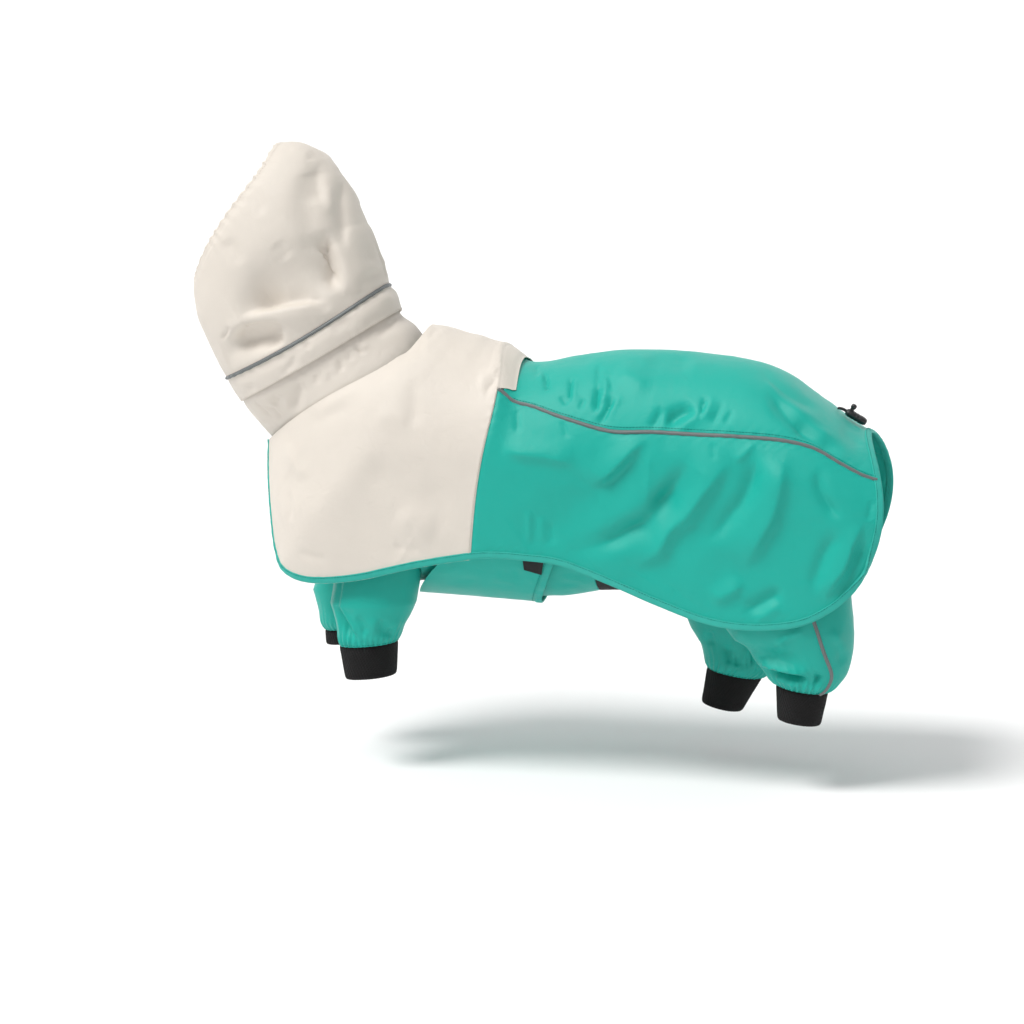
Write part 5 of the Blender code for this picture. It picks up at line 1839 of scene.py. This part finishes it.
@dataclass
class Studio:
    """Pale floor and wall, one broad sun, a sky and the camera at the photograph's angle."""

    azimuth: float = 10.0
    elevation: float = 9.0
    distance: float = 3.2
    target: tuple = (0.041, 0.0, -0.1935)
    lens: float = 102.27
    floor_level: float = -0.476
    floor_size: float = 9.0
    wall: float = 3.2
    ambient_low: float = 0.26
    ambient_high: float = 0.67
    key_power: float = 2.6
    key_toward: tuple = (-0.45, -0.42, 0.9)
    key_spread: float = 24.0
    key_tint: tuple = (1.0, 0.99, 0.975)
    bend: float = 1.2
    bend_steps: int = 12
    paper: tuple = (0.86, 0.86, 0.865, 1)

    def camera(self) -> None:
        """The camera, level and looking at the target."""
        a, e = math.radians(self.azimuth), math.radians(self.elevation)
        back = Vector((math.sin(a) * math.cos(e), -math.cos(a) * math.cos(e), math.sin(e)))
        right = Vector((math.cos(a), math.sin(a), 0))
        up = back.cross(right)
        data = bpy.data.cameras.new("camera")
        data.sensor_width = 36.0
        data.lens = self.lens
        data.clip_end = 40
        made = bpy.data.objects.new("camera", data)
        turn = Matrix((right, up, back)).transposed().to_4x4()
        made.matrix_world = Matrix.Translation(Vector(self.target) + back * self.distance) @ turn
        bpy.context.scene.collection.objects.link(made)
        bpy.context.scene.camera = made

    def key(self) -> None:
        """The one light, broad and far away."""
        data = bpy.data.lights.new("key", "SUN")
        data.angle = math.radians(self.key_spread)
        data.energy = self.key_power
        data.color = self.key_tint
        made = bpy.data.objects.new("key", data)
        made.rotation_euler = (-Vector(self.key_toward)).to_track_quat("-Z", "Y").to_euler()
        bpy.context.scene.collection.objects.link(made)

    def backdrop(self) -> None:
        """The floor, which bends up into a wall behind the suit."""
        half, bend = self.floor_size, self.bend
        profile = [(-half, 0.0), (self.wall - bend, 0.0)]
        for k in range(1, self.bend_steps + 1):
            turn = k / self.bend_steps * math.pi / 2
            profile.append((self.wall - bend + bend * math.sin(turn), bend * (1 - math.cos(turn))))
        profile.append((self.wall, half))
        points = [(x, y, self.floor_level + z) for y, z in profile for x in (-half, half)]
        faces = [(2 * n, 2 * n + 1, 2 * n + 3, 2 * n + 2) for n in range(len(profile) - 1)]
        mesh = bpy.data.meshes.new("floor")
        mesh.from_pydata(points, [], faces)
        mesh.polygons.foreach_set("use_smooth", [True] * len(mesh.polygons))
        floor = bpy.data.objects.new("floor", mesh)
        bpy.context.scene.collection.objects.link(floor)
        paper = bpy.data.materials.new("pale_floor")
        paper.use_nodes = True
        look = {"Base Color": self.paper, "Roughness": 0.9, "Specular IOR Level": 0.1}
        look |= {"Emission Color": (1, 1, 1, 1), "Emission Strength": 0.04}
        feed(paper.node_tree, paper.node_tree.nodes["Principled BSDF"], look)
        mesh.materials.append(paper)

    def sky(self) -> None:
        """A white world that is brighter above than below."""
        world = bpy.data.worlds.new("studio")
        bpy.context.scene.world = world
        world.use_nodes = True
        tree = world.node_tree
        place = added(tree, "TexCoord", {})
        split = added(tree, "SeparateXYZ", {"Vector": place.outputs["Generated"]})
        look = {"To Min": self.ambient_low, "To Max": self.ambient_high}
        height = added(tree, "MapRange", look | {"Value": split.outputs[2]})
        look = {"Color": (1.0, 1.0, 1.0, 1), "Strength": height.outputs[0]}
        feed(tree, tree.nodes["Background"], look)

    def build(self) -> None:
        """Makes the backdrop, the sky, the light and the camera."""
        self.backdrop()
        self.sky()
        self.key()
        bpy.context.scene.view_settings.view_transform = "Standard"
        self.camera()


def without_armholes(chest: Grid, holes: Sequence[np.ndarray]) -> np.ndarray:
    """The chest panel's cells that lie outside the armholes.

    Args:
        chest: its grid.
        holes: a loop of points for each armhole.

    Returns:
        Whether each cell is kept.
    """
    centre = (chest[:-1, :-1] + chest[1:, 1:]) / 2
    keep = np.ones(centre.shape[:2], bool)
    for hole in holes:
        x, y = hole[:, 0], hole[:, 1]
        after_x, after_y = np.roll(x, -1), np.roll(y, -1)
        inside = np.zeros(centre.shape[:2], bool)
        for ax, ay, bx, by in zip(x, y, after_x, after_y):
            crosses = (ay > centre[..., 1]) != (by > centre[..., 1])
            if ay != by:
                meet = ax + (centre[..., 1] - ay) * (bx - ax) / (by - ay)
                inside ^= crosses & (centre[..., 0] < meet)
        keep &= ~(inside & (centre[..., 2] < hole[:, 2].max() + 8))
    return keep


def main() -> None:
    """Builds the suit and its studio."""
    logging.basicConfig(level=logging.INFO, format="%(name)s %(message)s")
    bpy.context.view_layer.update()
    Studio().build()
    cape = Cape()
    inside = cape.build()
    Hood().build()
    body = UnderSuit(inside)
    chest = body.build()
    legs = [
        FrontLeg("front_leg_left", -1, 53, FRONT_LEG_LEFT, FRONT_CUFF_LEFT, FRONT_LEG_CREASES),
        FrontLeg(
            "front_leg_right",
            1,
            53,
            FRONT_LEG_RIGHT,
            FRONT_CUFF_RIGHT,
            FRONT_LEG_CREASES,
            back=0.35,
        ),
    ]
    holes = [leg.build(chest) for leg in legs]
    panel = shell("chest_cloth", chest, body.cloth, keep=without_armholes(chest, holes))
    CUTS["chest_panel"].declare(Finishes.TEAL.on(panel, "chest_panel"))
    HindLeg(
        "hind_leg_left", -1, 72, HIND_LEG_LEFT, HIND_CUFF_LEFT, HIND_LEG_CREASES
    ).build(inside)
    HindLeg(
        "hind_leg_right", 1, 72, HIND_LEG_RIGHT, HIND_CUFF_RIGHT, FAR_HIND_LEG_CREASES
    ).build(inside)
    CordLock().build(surface_of(cape.grid))


if __name__ == "__main__":
    main()
